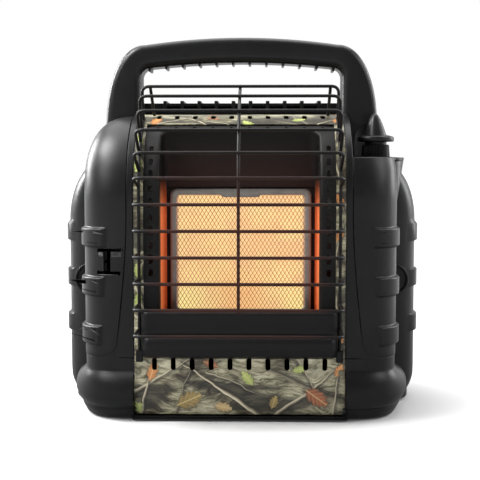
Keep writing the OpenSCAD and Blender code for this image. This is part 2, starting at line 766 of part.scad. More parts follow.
module front_panel() {
    color([0.42, 0.40, 0.28]) difference() {
        union() {
            span([-panel_w / 2, -front_y, sheet_z], [panel_w / 2, panel_t - front_y, arc_z]);
            arc_sheet(front_y, panel_t, -panel_w / 2, panel_w / 2, 0, 90);
            span([-panel_w / 2, 0, deck_z - panel_t], [panel_w / 2, deck_run, deck_z]);
        }
        span([-opening_w / 2, -front_y - 1, opening_z],
            [opening_w / 2, 5 - front_y * cos(deck_edge_a), arc_z + front_y * sin(deck_edge_a)]);
        translate([0, -front_y, slot_z]) air_slots(slot_w, slot_h, 6);
        at_arc(deck_slot_a) translate([0, -front_y, 0]) air_slots(slot_w, deck_slot_h, 6);
        both() for (z = panel_screw_z) translate([panel_w / 2 - 4, -front_y + 2, z])
            rotate([90, 0, 0]) cylinder(h = 5, r = 1.6);
        both() guard_foot(0.4);
    }
}

panel_screw_z = [sheet_z + 14, slot_z - 8];

module panel_screws() {
    color(soft_black) both() for (z = panel_screw_z) translate([panel_w / 2 - 4, -front_y, z]) rotate([90, 0, 0]) {
        cylinder(h = 1.6, r = 2.8);
        translate([0, 0, -panel_t]) cylinder(h = panel_t + 1, r = 1.5);
    }
}

mouth_z = 100;
hood_in = mouth_w / 2;
roof_z = tile_z + tile_h / 2 + bezel + 2;
floor_z = tile_z - tile_h / 2 - bezel - 2;
back_plane = burner_y - 2;
hood_w = frame_in * 2;
hood_mid = hood_r - hood_t / 2;
roof_front = [-hood_mid * cos(mouth_a + 0.3), arc_z + hood_mid * sin(mouth_a + 0.3)];
side_slot_pitch = 13.7;
side_slot_x = (hood_in + opening_w / 2) / 2 + 1;

module reflector_hood() {
    color(enamel) {
        difference() {
            union() {
                span([-hood_w / 2, -hood_r, opening_z + 4], [hood_w / 2, hood_t - hood_r, arc_z]);
                arc_sheet(hood_r, hood_t, -hood_w / 2, hood_w / 2, 0, deck_edge_a + 6);
            }
            span([-hood_in, -hood_r - 1, mouth_z],
                [hood_in, 5 - hood_r * cos(mouth_a), arc_z + hood_r * sin(mouth_a)]);
            // Slots beside the recess
            both() for (i = [0:5]) translate([side_slot_x, -hood_r, arc_z - 5 - i * side_slot_pitch])
                cube([4.3, 4, i % 2 == 0 ? 8.7 : 5.5], center = true);
            both() for (i = [0:3]) at_arc(6.5 + i * side_slot_pitch / hood_r * 180 / PI)
                translate([side_slot_x, -hood_r, 0]) cube([4.3, 4, i % 2 == 0 ? 5.5 : 8.7], center = true);
            at_arc((mouth_a + deck_edge_a) / 2) for (i = [0:slot_count - 1])
                translate([(i - (slot_count - 1) / 2) * slot_pitch * 0.985, 2 - hood_r, 0])
                    rotate([90, 0, 0]) cylinder(h = 4, r = 1.7);
        }
        // Side walls, roof and back flange of the recess
        both() translate([hood_in + hood_t / 2, 0, 0]) side_profile(concat([[-back_plane, floor_z]],
            face_points(hood_mid, floor_z, mouth_a + 2), [[-back_plane, roof_z + 2]]), hood_t);
        side_profile([roof_front, roof_front + [1.1, 0.4], [0.8 - back_plane, roof_z + 0.3],
            [0.1 - back_plane, roof_z - 0.1]], 2 * (hood_in + hood_t) - 0.6);
        difference() {
            span([-hood_in - 0.5, -back_plane, floor_z], [hood_in + 0.5, hood_t - back_plane, roof_z]);
            span([-plate_w / 2 - gap, -back_plane - 1, tile_z - plate_h / 2 - gap],
                [plate_w / 2 + gap, 2 - back_plane, tile_z + plate_h / 2 + gap]);
        }
    }
}

deflector_w = opening_w + 4;

// Room for the guard's clips beside the deflector
module clip_room() {
    both() span([guard_x - 3.8, -98, 50], [110, -80, rail_z + 8.5]);
}

module lower_deflector() {
    shelf = floor_z + 3;
    t = 1.2;
    outer = [[-burner_y - 2.4, shelf], [-60, shelf + 2], [-hood_r, shelf + 6], [-97, shelf + 7], [-99.5, shelf + 4],
        [-99.5, 88], [-98.5, 86], [-102.5, 84], [-103.5, 80], [-102.5, 73], [-98, 66.5], [-91, 63], [-front_y - gap, 62]];
    inner = [[-front_y - gap, 62 + t], [-90.6, 63 + t], [-97.1, 67.5], [-101.3, 73.5], [-102.3, 80], [-101.5, 83.2],
        [-97.2, 85.6], [-98.3, 88.5], [-98.3, shelf + 3.6], [-96.5, shelf + 7 - t], [-hood_r, shelf + 6 - t],
        [-60, shelf + 2 - t], [-burner_y - 2.4, shelf - t]];
    color(soft_black) {
        difference() {
            side_profile(concat(outer, inner), deflector_w);
            // The shelf is narrower than the part in front of the panel
            both() span([hood_in - gap, -front_y + panel_t + gap, 50], [120, 0, 140]);
            both() span([hood_in - gap, -front_y - gap, shelf - 2], [120, 0, 140]);
            // Room for the pilot
            span([pilot_x - 20, -56, shelf - 5], [pilot_x + 20, -20, shelf + 10]);
            clip_room();
        }
        both() difference() {
            translate([deflector_w / 2 - t / 2, 0, 0]) side_profile(outer, t);
            span([0, -front_y - gap, 50], [200, 0, 200]);
            clip_room();
        }
        // Tongues that screw it to the panel
        both() span([70, -front_y, 62], [84, -front_y - 1.5, 74]);
    }
}

// ---------------------------------------------------------------- wire guard

wire_r = wire_d / 2;
guard_line = guard_y - wire_r;
guard_cy = guard_r - guard_line;
guard_straight = 5;
guard_cz = bar_z + guard_straight * bar_pitch;
bar_step = bar_pitch / guard_r * 180 / PI;
rail_r = front_y + 2.5;
guard_x = guard_w / 2 - wire_r;
bend_r = 8;

function bar_a(k) = max(0, (k - guard_straight) * bar_step);
function bar_yz(k, r = guard_r) = k <= guard_straight
    ? [guard_cy - r, bar_z + k * bar_pitch]
    : [guard_cy - r * cos(bar_a(k)), guard_cz + r * sin(bar_a(k))];

// Distance from a bar to the side rail, square to the guard
function leg_len(k) = let (p = bar_yz(k), a = bar_a(k), d = [cos(a), -sin(a)], q = p - [0, arc_z],
    b = d * q, c = q * q - rail_r * rail_r, flat_len = (-rail_r - p[0]) / cos(a))
    p[1] + flat_len * -sin(a) <= arc_z ? flat_len : -b - sqrt(max(0, b * b - c));

// One bar: straight front, a bend at each end and a leg back to the rail
module guard_bar(k) {
    p = bar_yz(k);
    translate([0, p[0], p[1]]) rotate([-bar_a(k), 0, 0]) {
        rotate([0, 90, 0]) cylinder(h = 2 * (guard_x - bend_r), r = wire_r, center = true, $fn = 24);
        both() {
            translate([guard_x - bend_r, bend_r, 0]) rotate([0, 0, -90])
                rotate_extrude(angle = 90, $fn = 48) translate([bend_r, 0]) circle(r = wire_r, $fn = 24);
            translate([guard_x, bend_r, 0]) rotate([-90, 0, 0])
                cylinder(h = leg_len(k) - bend_r, r = wire_r, $fn = 24);
        }
    }
}

rail_end_a = 66;
rail_z = 62;

// Upright that follows a radius: straight below, bent round above
module upright(x, r, cy, cz, z0, a, wr) {
    translate([x, cy - r, z0]) cylinder(h = cz - z0, r = wr, $fn = 24);
    translate([x, cy, cz]) rotate([90, 0, -90])
        rotate_extrude(angle = a, $fn = 96) translate([r, 0]) circle(r = wr, $fn = 24);
}

// Foot of the guard's back leg, where it enters the deck
module guard_foot(grow) {
    p = bar_yz(bar_count - 1);
    rod([guard_leg_x, p[0], p[1]], [guard_leg_x, -13, deck_z - 3.5], wire_r + grow);
}

module wire_guard() {
    color([0.10, 0.08, 0.07]) {
        for (k = [0:bar_count - 1]) guard_bar(k);
        both() upright(guard_x, rail_r, 0, arc_z, rail_z, rail_end_a, wire_r);
        upright(0, guard_r - wire_d + 0.5, guard_cy, guard_cz, bar_z + bar_pitch - 3,
            bar_a(bar_count - 1) + 0.5, wire_r);
        both() guard_foot(0);
    }
}

module guard_clips() {
    color(steel) both() difference() {
        span([guard_x - 3.4, -rail_r - 3.2, rail_z - 3], [guard_x + 3.4, -front_y, rail_z + 8]);
        translate([guard_x, -rail_r, rail_z - 0.5]) cylinder(h = 20, r = wire_r);
    }
}

// ---------------------------------------------------------------- burner

plate_w = tile_w + 2 * bezel;
plate_h = tile_h + 2 * bezel;
frame_d = 15;

module slab(w, h, r, y0, y1) {
    front_profile(shift(round_rect(w, h, r), 0, tile_z), y0, y1);
}

module burner_frame() {
    color(steel) difference() {
        union() {
            slab(plate_w, plate_h, 8, -burner_y - 2, frame_d - burner_y);
            slab(plate_w + 6, plate_h + 6, 9, hood_t - back_plane, hood_t - back_plane + 1);
        }
        slab(tile_w, tile_h, 4, -burner_y - 3, 0);
        slab(plate_w - 2, plate_h - 2, 7, -burner_y - 1, 20);
    }
}

module burner_screen() {
    y0 = -burner_y - 0.9;
    bar = 0.8;
    n = floor((tile_w + tile_h) / 2 / mesh_pitch);
    color(steel) {
        difference() {
            slab(tile_w + 4, tile_h + 4, 6, y0, y0 + 1.8);
            slab(tile_w - 3, tile_h - 3, 4, y0 - 1, 0);
        }
        for (s = [-1, 1]) intersection() {
            slab(tile_w, tile_h, 4, y0 + (s > 0 ? 0.95 : 0.05), y0 + (s > 0 ? 1.75 : 0.85));
            for (i = [-n:n]) translate([i * mesh_pitch * 1.2, -burner_y, tile_z]) rotate([0, s * 53, 0])
                cube([400, 4, bar], center = true);
        }
    }
}

module burner_tile() {
    color([1.0, 0.72, 0.35]) span([-tile_w / 2 + 0.5, 1 - burner_y, tile_z - tile_h / 2 + 0.5],
        [tile_w / 2 - 0.5, 1 - burner_y + tile_t, tile_z + tile_h / 2 - 0.5]);
}

module burner_gasket() {
    color([0.9, 0.9, 0.86]) difference() {
        slab(plate_w - 2, plate_h - 2, 7, 3 - burner_y, 1 - burner_y + tile_t);
        span([-tile_w / 2 + 0.5, -60, tile_z - tile_h / 2 + 0.5], [tile_w / 2 - 0.5, 60, tile_z + tile_h / 2 - 0.5]);
    }
}

plenum_y0 = 1 - burner_y + tile_t;
plenum_d = 26;
tube_r = 11;
mix_y = plenum_y0 + plenum_d / 2;
mix_z = floor_z - 10;
mix_x = 0;

module burner_plenum() {
    color([0.62, 0.62, 0.60]) difference() {
        slab(plate_w - 2, plate_h - 2, 7, plenum_y0, plenum_y0 + plenum_d);
        slab(plate_w - 5, plate_h - 5, 6, plenum_y0 - 1, plenum_y0 + plenum_d - 1.5);
        translate([mix_x, mix_y, floor_z - 5]) cylinder(h = 20, r = tube_r - 0.5);
    }
}

module mixing_tube() {
    inner = tube_r - 1;
    color([0.62, 0.62, 0.60]) difference() {
        union() {
            translate([mix_x, mix_y, mix_z]) cylinder(h = tile_z - plate_h / 2 + 4 - mix_z, r = tube_r - 0.5);
            rod([mix_x - tube_r - 3, mix_y, mix_z], [orifice_x, mix_y, mix_z], tube_r);
        }
        translate([mix_x, mix_y, mix_z]) cylinder(h = 60, r = inner - 0.5);
        rod([mix_x - tube_r - 2, mix_y, mix_z], [orifice_x + 1, mix_y, mix_z], inner);
        for (a = [0, 90]) translate([orifice_x - 12, mix_y, mix_z]) rotate([a, 0, 0]) cube([8, 8, 60], center = true);
    }
}

shield_x = seam_x - gap - side_wall_t - 4;
orifice_x = shield_x - 2;

// Cap on the end of the mixing tube, with the gas jet
module gas_orifice() {
    color(brass) difference() {
        union() {
            rod([orifice_x, mix_y, mix_z], [orifice_x + 4, mix_y, mix_z], tube_r);
            rod([orifice_x + 4, mix_y, mix_z], [orifice_x + 12, mix_y, mix_z], 4);
            rod([orifice_x - 3, mix_y, mix_z], [orifice_x, mix_y, mix_z], tube_r - 1);
        }
        rod([orifice_x - 5, mix_y, mix_z], [orifice_x + 10, mix_y, mix_z], 1.2);
    }
}

shield_y = plenum_y0 + plenum_d;

// Aluminium shroud around the burner
module heat_shield() {
    color([0.8, 0.8, 0.8]) difference() {
        union() {
            span([-shield_x, shield_y, pan_z], [shield_x, shield_y + 1, deck_z - 14]);
            both() translate([shield_x - 0.5, 0, 0]) side_profile(concat([[shield_y + 1, pan_z], [-60, pan_z]],
                [[-60, base_h]], face_points(frame_r - wall - 1, base_h, 60), [[-20, deck_z - 14], [shield_y + 1, deck_z - 14]]), 1);
        }
        both() span([shield_x - 5, -70, access_z[0]], [shield_x + 5, shield_y - 2, access_z[1]]);
        for (i = [0:5]) translate([(i - 2.5) * 30, shield_y, deck_z - 40]) cube([18, 6, 4], center = true);
    }
}

// ---------------------------------------------------------------- pilot

pilot_x = tile_w / 2 - 13.5;
pilot_y = burner_y + 12;
pilot_drop = 9.5;
pilot_z = tile_z - plate_h / 2 - pilot_drop;

module pilot_bracket() {
    color(steel) difference() {
        union() {
            span([pilot_x - 18, -pilot_y - 7, pilot_z - 1.5], [pilot_x + 18, -back_plane - 0.3, pilot_z]);
            span([pilot_x - 18, -back_plane - 1.8, pilot_z - 1.5], [pilot_x + 18, -back_plane - 0.3, pilot_z + pilot_drop]);
        }
        for (x = [-10, 0, 10]) translate([pilot_x + x, -pilot_y, pilot_z - 5]) cylinder(h = 10, r = x == 0 ? 4 : 3);
    }
}

module pilot_burner() {
    color(brass) {
        translate([pilot_x, -pilot_y, pilot_z - 16]) cylinder(h = 20, r = 4);
        translate([pilot_x, -pilot_y, pilot_z - 14]) cylinder(h = 8, r = 5.5, $fn = 6);
    }
}

module thermocouple() {
    color([0.6, 0.5, 0.4]) {
        translate([pilot_x - 10, -pilot_y, pilot_z - 16]) cylinder(h = 17, r = 3);
        translate([pilot_x - 10, -pilot_y, pilot_z + 1]) cylinder(h = 8, r = 2);
    }
}

module electrode_insulator() {
    color([0.93, 0.92, 0.88]) difference() {
        translate([pilot_x + 10, -pilot_y, pilot_z - 14]) cylinder(h = 20, r = 3);
        translate([pilot_x + 10, -pilot_y, pilot_z - 15]) cylinder(h = 22, r = 0.8);
    }
}

module spark_electrode() {
    color(steel) pipe([[pilot_x + 10, -pilot_y, pilot_z - 17], [pilot_x + 10, -pilot_y, pilot_z + 9],
        [pilot_x + 5, -pilot_y, pilot_z + 11]], 0.8);
}

// ---------------------------------------------------------------- valve and tubes

valve_w = 26;
valve_out = 9;
valve_back = 12;
valve_z0 = 178;
valve_z1 = 214;
lead_z = 66;
pilot_feed = [knob_x - 5, knob_y - 6];
couple_feed = [knob_x + 7, knob_y - 6];
burner_feed = [knob_x - 5, knob_y + 6];
stem_r = stem_d / 2;

module valve_body() {
    color([0.72, 0.70, 0.66]) difference() {
        union() {
            span([knob_x - valve_w / 2, knob_y - valve_w / 2, valve_z0], [knob_x + valve_out, knob_y + valve_back, valve_z1]);
            translate([knob_x, knob_y, valve_z1 - 1]) cylinder(h = 5, r = stem_r + 4);
        }
        translate([knob_x, knob_y, valve_z1 - 16]) cylinder(h = 40, r = stem_r + run_fit);
    }
}

module valve_bracket() {
    color(steel) {
        span([seam_x - gap, knob_y - 12, valve_z0 + 4], [knob_x - valve_w / 2, knob_y + 12, valve_z0 + 6]);
        span([seam_x - gap, knob_y - 12, valve_z0 - 8], [seam_x - gap + 1.5, knob_y + 12, valve_z0 + 18]);
        span([knob_x - valve_w / 2 - 1.5, knob_y - 12, valve_z0 + 4], [knob_x - valve_w / 2, knob_y + 12, valve_z0 + 20]);
    }
}

plate_z = ledge_z - 24;
knob_bottom = ledge_z + 3.4;
flange_z = ledge_z + collar_h + knob_push + 0.5;
collar_in = 11.6;

// Turns and slides in the valve; its collar presses on the striker plate
module valve_stem() {
    color(brass) {
        translate([knob_x, knob_y, valve_z1 - 12]) cylinder(h = flange_z + 4 - valve_z1 + 12, r = stem_r);
        translate([knob_x, knob_y, plate_z + 2]) cylinder(h = 3, r = stem_r + 2.5);
    }
}

module control_knob() {
    color(soft_black) difference() {
        union() {
            translate([knob_x, knob_y, knob_bottom]) cylinder(h = flange_z - knob_bottom + 1, r = collar_in - 0.6);
            translate([knob_x, knob_y, flange_z]) cylinder(h = 4.5, r = knob_d / 2);
            translate([knob_x, knob_y, flange_z + 4.5]) cylinder(h = 3.5, r1 = knob_d / 2, r2 = knob_d / 2 - 8);
            hull($fn = 32) {
                translate([knob_x, knob_y, flange_z + 6]) scale([1, 1.5, 1]) cylinder(h = 1, r = 10);
                translate([knob_x - 1.5, knob_y, flange_z + 6 + grip_h]) cube([5, 22, 1.5], center = true);
            }
        }
        translate([knob_x, knob_y, knob_bottom - 1]) cylinder(h = flange_z + 5 - knob_bottom, r = stem_r);
    }
}

module knob_collar() {
    color(black) difference() {
        translate([knob_x, knob_y, ledge_z]) cylinder(h = collar_h, r1 = collar_in + 2.9, r2 = collar_in + 2);
        translate([knob_x, knob_y, ledge_z - 1]) cylinder(h = collar_h + 2, r = collar_in);
    }
}

spring_r = stem_r + 2.4;
spring_wire = 0.6;
spring_turns = 5;
spring_z0 = valve_z1 + 4 + spring_wire;
spring_z1 = plate_z - spring_wire;

// Return spring of the knob: a helix of round wire
module knob_spring() {
    steps = spring_turns * 14;
    sides = 6;
    rings = [for (i = [0:steps]) let (a = i * 360 / 14, z = spring_z0 + (spring_z1 - spring_z0) * i / steps)
        [for (j = [0:sides - 1]) let (b = j * 360 / sides, rr = spring_r + spring_wire * cos(b))
            [knob_x + rr * cos(a), knob_y + rr * sin(a), z + spring_wire * sin(b)]]];
    points = flat(rings);
    faces = flat([for (i = [0:steps - 1]) flat([for (j = [0:sides - 1]) let (p = i * sides + j, q = i * sides + (j + 1) % sides)
        [[p, q, q + sides], [p, q + sides, p + sides]]])]);
    color(steel) polyhedron(points, concat([[for (j = [sides - 1:-1:0]) j]], faces,
        [[for (j = [0:sides - 1]) steps * sides + j]]), convexity = 10);
}

piezo = [knob_x - 4, knob_y - 28];
piezo_r = 8;
plunger_r = 3;
piezo_z1 = plate_z - 12;

// Moves down with the stem and works the igniter
module striker_plate() {
    color(steel) difference() {
        union() {
            translate([knob_x, knob_y, plate_z]) cylinder(h = 2, r = stem_r + 5);
            span([knob_x - 8, piezo[1] - 5, plate_z], [knob_x + 3, knob_y - 4, plate_z + 2]);
        }
        translate([knob_x, knob_y, plate_z - 1]) cylinder(h = 4, r = stem_r + run_fit);
    }
}

module piezo_plunger() {
    color([0.75, 0.1, 0.08]) translate([piezo[0], piezo[1], piezo_z1 - 6]) cylinder(h = plate_z - piezo_z1 + 6, r = plunger_r);
}

module piezo_igniter() {
    color([0.12, 0.12, 0.13]) difference() {
        union() {
            translate([piezo[0], piezo[1], piezo_z1 - 34]) cylinder(h = 34, r = piezo_r);
            span([seam_x - gap, piezo[1] - 5, piezo_z1 - 30], [piezo[0], piezo[1] + 5, piezo_z1 - 22]);
        }
        translate([piezo[0], piezo[1], piezo_z1 - 6 - knob_push - 1]) cylinder(h = 40, r = plunger_r + run_fit);
    }
}

module igniter_wire() {
    color([0.55, 0.12, 0.1]) pipe([[piezo[0], piezo[1], piezo_z1 - 34], [piezo[0], piezo[1], lead_z + 14],
        [pilot_x + 20, -pilot_y - 12, lead_z + 6], [pilot_x + 10, -pilot_y, lead_z + 6],
        [pilot_x + 10, -pilot_y, pilot_z - 17]], 1.3);
}

module pilot_tube() {
    color(brass) pipe([[pilot_feed[0], pilot_feed[1], valve_z0], [pilot_feed[0], pilot_feed[1], lead_z + 22],
        [seam_x - 15, -pilot_y + 4, lead_z], [pilot_x, -pilot_y, lead_z], [pilot_x, -pilot_y, pilot_z - 16]], 1.5);
}

module thermocouple_lead() {
    color([0.72, 0.45, 0.3]) pipe([[couple_feed[0], couple_feed[1], valve_z0], [couple_feed[0], couple_feed[1], lead_z + 12],
        [seam_x - 15, -pilot_y + 12, lead_z - 6], [pilot_x - 10, -pilot_y + 6, lead_z - 6],
        [pilot_x - 10, -pilot_y, lead_z + 1], [pilot_x - 10, -pilot_y, pilot_z - 16]], 1.2);
}

module burner_gas_tube() {
    color(brass) pipe([[burner_feed[0], burner_feed[1], valve_z0], [burner_feed[0], burner_feed[1], mix_z + 20],
        [orifice_x + 20, mix_y, mix_z], [orifice_x + 12, mix_y, mix_z]], 3);
}

pivot = [-(bay_in + 12), back_y - 36];
swivel_z = bay_top + wall + 6;

module supply_tube() {
    color(brass) pipe([[pivot[0] + 12, pivot[1], swivel_z], [pivot[0] + 40, pivot[1], swivel_z],
        [shield_x - 10, 60, swivel_z], [knob_x - 10, 20, valve_z1 + 10], [knob_x, knob_y + 30, valve_z0 + 20],
        [knob_x, knob_y + valve_back, valve_z0 + 20]], 3);
}

// ---------------------------------------------------------------- regulator

reg_reach = [-53, -12];
reg_at = pivot + reg_reach;
reg_h = 22;
reg_z = pan_z + wall + cyl_h + inlet_h;

// Fixed post that the regulator swings on, held in the bay's roof
module swivel_fitting() {
    color(brass) {
        translate([pivot[0], pivot[1], reg_z + 4]) cylinder(h = bay_top + wall - reg_z - 4, r = pin_r);
        translate([pivot[0], pivot[1], bay_top - 6]) cylinder(h = wall + 12, r = pin_r + 2);
        translate([pivot[0], pivot[1], bay_top + wall]) cylinder(h = 12, r = pin_r + 4, $fn = 6);
        rod([pivot[0], pivot[1], swivel_z], [pivot[0] + 12, pivot[1], swivel_z], 4.5);
    }
}

module regulator_body() {
    color([0.62, 0.63, 0.65]) difference() {
        union() {
            translate([reg_at[0], reg_at[1], reg_z]) cylinder(h = reg_h, r = reg_d / 2);
            translate([pivot[0], pivot[1], reg_z + 6]) cylinder(h = 16, r = pin_r + 4);
            rod([reg_at[0], reg_at[1], reg_z + 14], [pivot[0], pivot[1], reg_z + 14], 7);
        }
        translate([pivot[0], pivot[1], reg_z]) cylinder(h = 40, r = pin_r + run_fit);
    }
}

module regulator_cap() {
    color([0.55, 0.56, 0.58]) translate([reg_at[0], reg_at[1], reg_z + reg_h]) {
        cylinder(h = 3, r = reg_d / 2);
        translate([0, 0, 3]) cylinder(h = 4, r1 = reg_d / 2 - 4, r2 = reg_d / 2 - 10);
        translate([0, 0, 7]) cylinder(h = 3, r = 6);
    }
}

module inlet_fitting() {
    color(brass) difference() {
        union() {
            translate([reg_at[0], reg_at[1], reg_z - inlet_h - 2]) cylinder(h = inlet_h + 2, r = inlet_r + 3.3);
            translate([reg_at[0], reg_at[1], reg_z - 7]) cylinder(h = 7, r = inlet_r + 5.5, $fn = 6);
        }
        translate([reg_at[0], reg_at[1], reg_z - inlet_h - 3]) cylinder(h = inlet_h + 1, r = inlet_r);
        translate([reg_at[0], reg_at[1], reg_z - 3]) cylinder(h = 2.5, r = inlet_r - 2);
    }
}

module inlet_seal() {
    color([0.1, 0.1, 0.1]) difference() {
        translate([reg_at[0], reg_at[1], reg_z - 2]) cylinder(h = 1.5, r = inlet_r - 2);
        translate([reg_at[0], reg_at[1], reg_z - 3]) cylinder(h = 4, r = inlet_r - 7);
    }
}

// ---------------------------------------------------------------- tip-over switch

tip = [seam_x + 15, -36];
tip_z = pan_z + 24;

module tip_switch_case() {
    color([0.85, 0.85, 0.82]) difference() {
        translate([tip[0], tip[1], pan_z + 16]) cube([26, 22, 32], center = true);
        translate([tip[0], tip[1], pan_z + 16]) cube([22, 18, 28], center = true);
        span([tip[0] - 20, tip[1] - 6, pan_z + 5], [tip[0] - 8, tip[1] + 6, pan_z + 10]);
    }
    color([0.85, 0.85, 0.82]) translate([tip[0], tip[1], tip_z + 1]) rotate([90, 0, 0])
        cylinder(h = 20, r = 1.5, center = true);
}

// Pendulum of the tip-over switch, hung on the pin of its case
module tip_switch_weight() {
    color(steel) difference() {
        union() {
            translate([tip[0], tip[1], tip_z + 1]) rotate([90, 0, 0]) cylinder(h = 8, r = 3.2, center = true);
            translate([tip[0], tip[1], tip_z - 7]) cube([2.5, 8, 13], center = true);
            translate([tip[0], tip[1], tip_z - 14]) rotate([90, 0, 0]) cylinder(h = 12, r = 4.5, center = true);
        }
        translate([tip[0], tip[1], tip_z + 1]) rotate([90, 0, 0]) cylinder(h = 30, r = 1.5 + run_fit, center = true);
    }
}

module tip_switch_leads() {
    color([0.2, 0.25, 0.6]) for (s = [-1, 1])
        pipe([[tip[0] + 4 * s, tip[1] + 6, pan_z + 32], [tip[0] + 4 * s, tip[1] + 6, pan_z + 50],
            [knob_x + 4 + 2 * s, knob_y + 4, pan_z + 66], [knob_x + 4 + 2 * s, knob_y + 9, valve_z0]], 1);
}

// ---------------------------------------------------------------- output

front_frame();
left_front_cover();
right_front_cover();
rear_shell();
base_tray();
handle_front();
handle_rear();
top_grille();
left_side_lug();
right_side_lug();
cover_catch();
front_panel();
guard_clips();
reflector_hood();
lower_deflector();
wire_guard();
burner_frame();
burner_screen();
burner_tile();
burner_gasket();
burner_plenum();
mixing_tube();
gas_orifice();
heat_shield();
pilot_bracket();
pilot_burner();
thermocouple();
thermocouple_lead();
spark_electrode();
electrode_insulator();
pilot_tube();
burner_gas_tube();
supply_tube();
valve_body();
valve_bracket();
valve_stem();
control_knob();
knob_collar();
knob_spring();
striker_plate();
piezo_igniter();
piezo_plunger();
igniter_wire();
swivel_fitting();
regulator_body();
regulator_cap();
inlet_fitting();
inlet_seal();
tip_switch_case();
tip_switch_weight();
tip_switch_leads();
rubber_feet();
lug_screws();
base_screws();
handle_screws();
panel_screws();
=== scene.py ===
"""Looks of a portable radiant propane heater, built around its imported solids.

Lengths are metres in the frame of the solids: the origin is on the floor under the
handle, +Z is up and the front faces -Y.
"""

import sys

import json
import logging
import math
from dataclasses import dataclass, field
from enum import Enum
from functools import reduce
from typing import Callable, Sequence

import bmesh
import bpy
from mathutils import Matrix, Vector

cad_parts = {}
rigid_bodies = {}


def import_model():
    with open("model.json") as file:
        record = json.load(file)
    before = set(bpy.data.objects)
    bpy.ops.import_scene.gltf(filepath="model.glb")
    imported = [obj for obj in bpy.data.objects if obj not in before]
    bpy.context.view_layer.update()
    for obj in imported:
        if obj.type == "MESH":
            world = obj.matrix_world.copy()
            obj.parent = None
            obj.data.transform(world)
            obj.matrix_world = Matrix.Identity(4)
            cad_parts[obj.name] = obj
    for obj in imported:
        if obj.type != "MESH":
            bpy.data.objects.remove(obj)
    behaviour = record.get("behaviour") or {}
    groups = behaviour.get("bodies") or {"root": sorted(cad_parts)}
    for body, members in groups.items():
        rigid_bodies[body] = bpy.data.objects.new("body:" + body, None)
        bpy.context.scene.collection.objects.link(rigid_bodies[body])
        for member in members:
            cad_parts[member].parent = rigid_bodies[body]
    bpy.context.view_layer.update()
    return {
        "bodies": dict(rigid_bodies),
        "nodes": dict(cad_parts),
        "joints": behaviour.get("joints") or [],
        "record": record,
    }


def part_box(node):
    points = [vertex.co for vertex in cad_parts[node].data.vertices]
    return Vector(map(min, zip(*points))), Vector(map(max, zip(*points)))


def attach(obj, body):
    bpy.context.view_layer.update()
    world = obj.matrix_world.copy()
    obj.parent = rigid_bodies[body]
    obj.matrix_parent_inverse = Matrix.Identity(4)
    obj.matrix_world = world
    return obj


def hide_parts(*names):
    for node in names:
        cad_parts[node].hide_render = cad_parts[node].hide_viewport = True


log = logging.getLogger("heater")

MM = 0.001
BODY = "heater"
WELD = 1e-6
TILE_Z = 0.165
TILE_HALF_W = 0.0685
TILE_HALF_H = 0.059
OUT = 0.2
WHITE = (1.0, 1.0, 1.0)

Form = bmesh.types.BMesh
Socket = bpy.types.NodeSocket
Material = bpy.types.Material
Point = Sequence[float]
Triple = tuple[float, float, float]
Pair = tuple[float, float]
Colour = Triple
Place = Callable[..., Vector]


# ------------------------------------------------------------------ shader writing


def tint(red: float, green: float, blue: float) -> Colour:
    """Turns a display colour of 0 to 255 into the linear colour a shader takes.

    Args:
        red: Red as seen on a display.
        green: Green as seen on a display.
        blue: Blue as seen on a display.

    Returns:
        The linear colour.
    """
    return tuple(
        c / 255 / 12.92 if c <= 10 else ((c / 255 + 0.055) / 1.055) ** 2.4
        for c in (red, green, blue)
    )


class Level:
    """A number that varies over a surface and takes ordinary arithmetic."""

    def __init__(self, shader: "Shader", socket: Socket) -> None:
        """Keeps the socket and the shader it belongs to."""
        self.shader = shader
        self.socket = socket

    def __add__(self, other: "Level | float") -> "Level":
        """Sum of both."""
        return self.shader.maths("ADD", self, other)

    def __sub__(self, other: "Level | float") -> "Level":
        """This less the other."""
        return self.shader.maths("SUBTRACT", self, other)

    def __rsub__(self, other: float) -> "Level":
        """The other less this."""
        return self.shader.maths("SUBTRACT", other, self)

    def __mul__(self, other: "Level | float") -> "Level":
        """Product of both."""
        return self.shader.maths("MULTIPLY", self, other)

    def __truediv__(self, other: "Level | float") -> "Level":
        """This divided by the other."""
        return self.shader.maths("DIVIDE", self, other)

    def __abs__(self) -> "Level":
        """Distance from zero."""
        return self.shader.maths("ABSOLUTE", self)

    __radd__ = __add__
    __rmul__ = __mul__

    def most(self, other: "Level | float") -> "Level":
        """The larger of both."""
        return self.shader.maths("MAXIMUM", self, other)

    def rise(self, start: float, end: float) -> "Level":
        """Smooth step that goes from 0 at start to 1 at end.

        Args:
            start: Level at which the step is 0; it may lie above end.
            end: Level at which the step is 1.

        Returns:
            The step.
        """
        low, high = min(start, end), max(start, end)
        node = self.shader.node(
            "ShaderNodeMapRange",
            {"interpolation_type": "SMOOTHSTEP"},
            {"Value": self, "From Min": low, "From Max": high},
        )
        step = Level(self.shader, node.outputs["Result"])
        return step if start < end else 1 - step

    def within(self, low: float, high: float, soft: float) -> "Level":
        """1 between two levels and 0 outside, soft at both ends."""
        return self.rise(low - soft, low + soft) * self.rise(high + soft, high - soft)


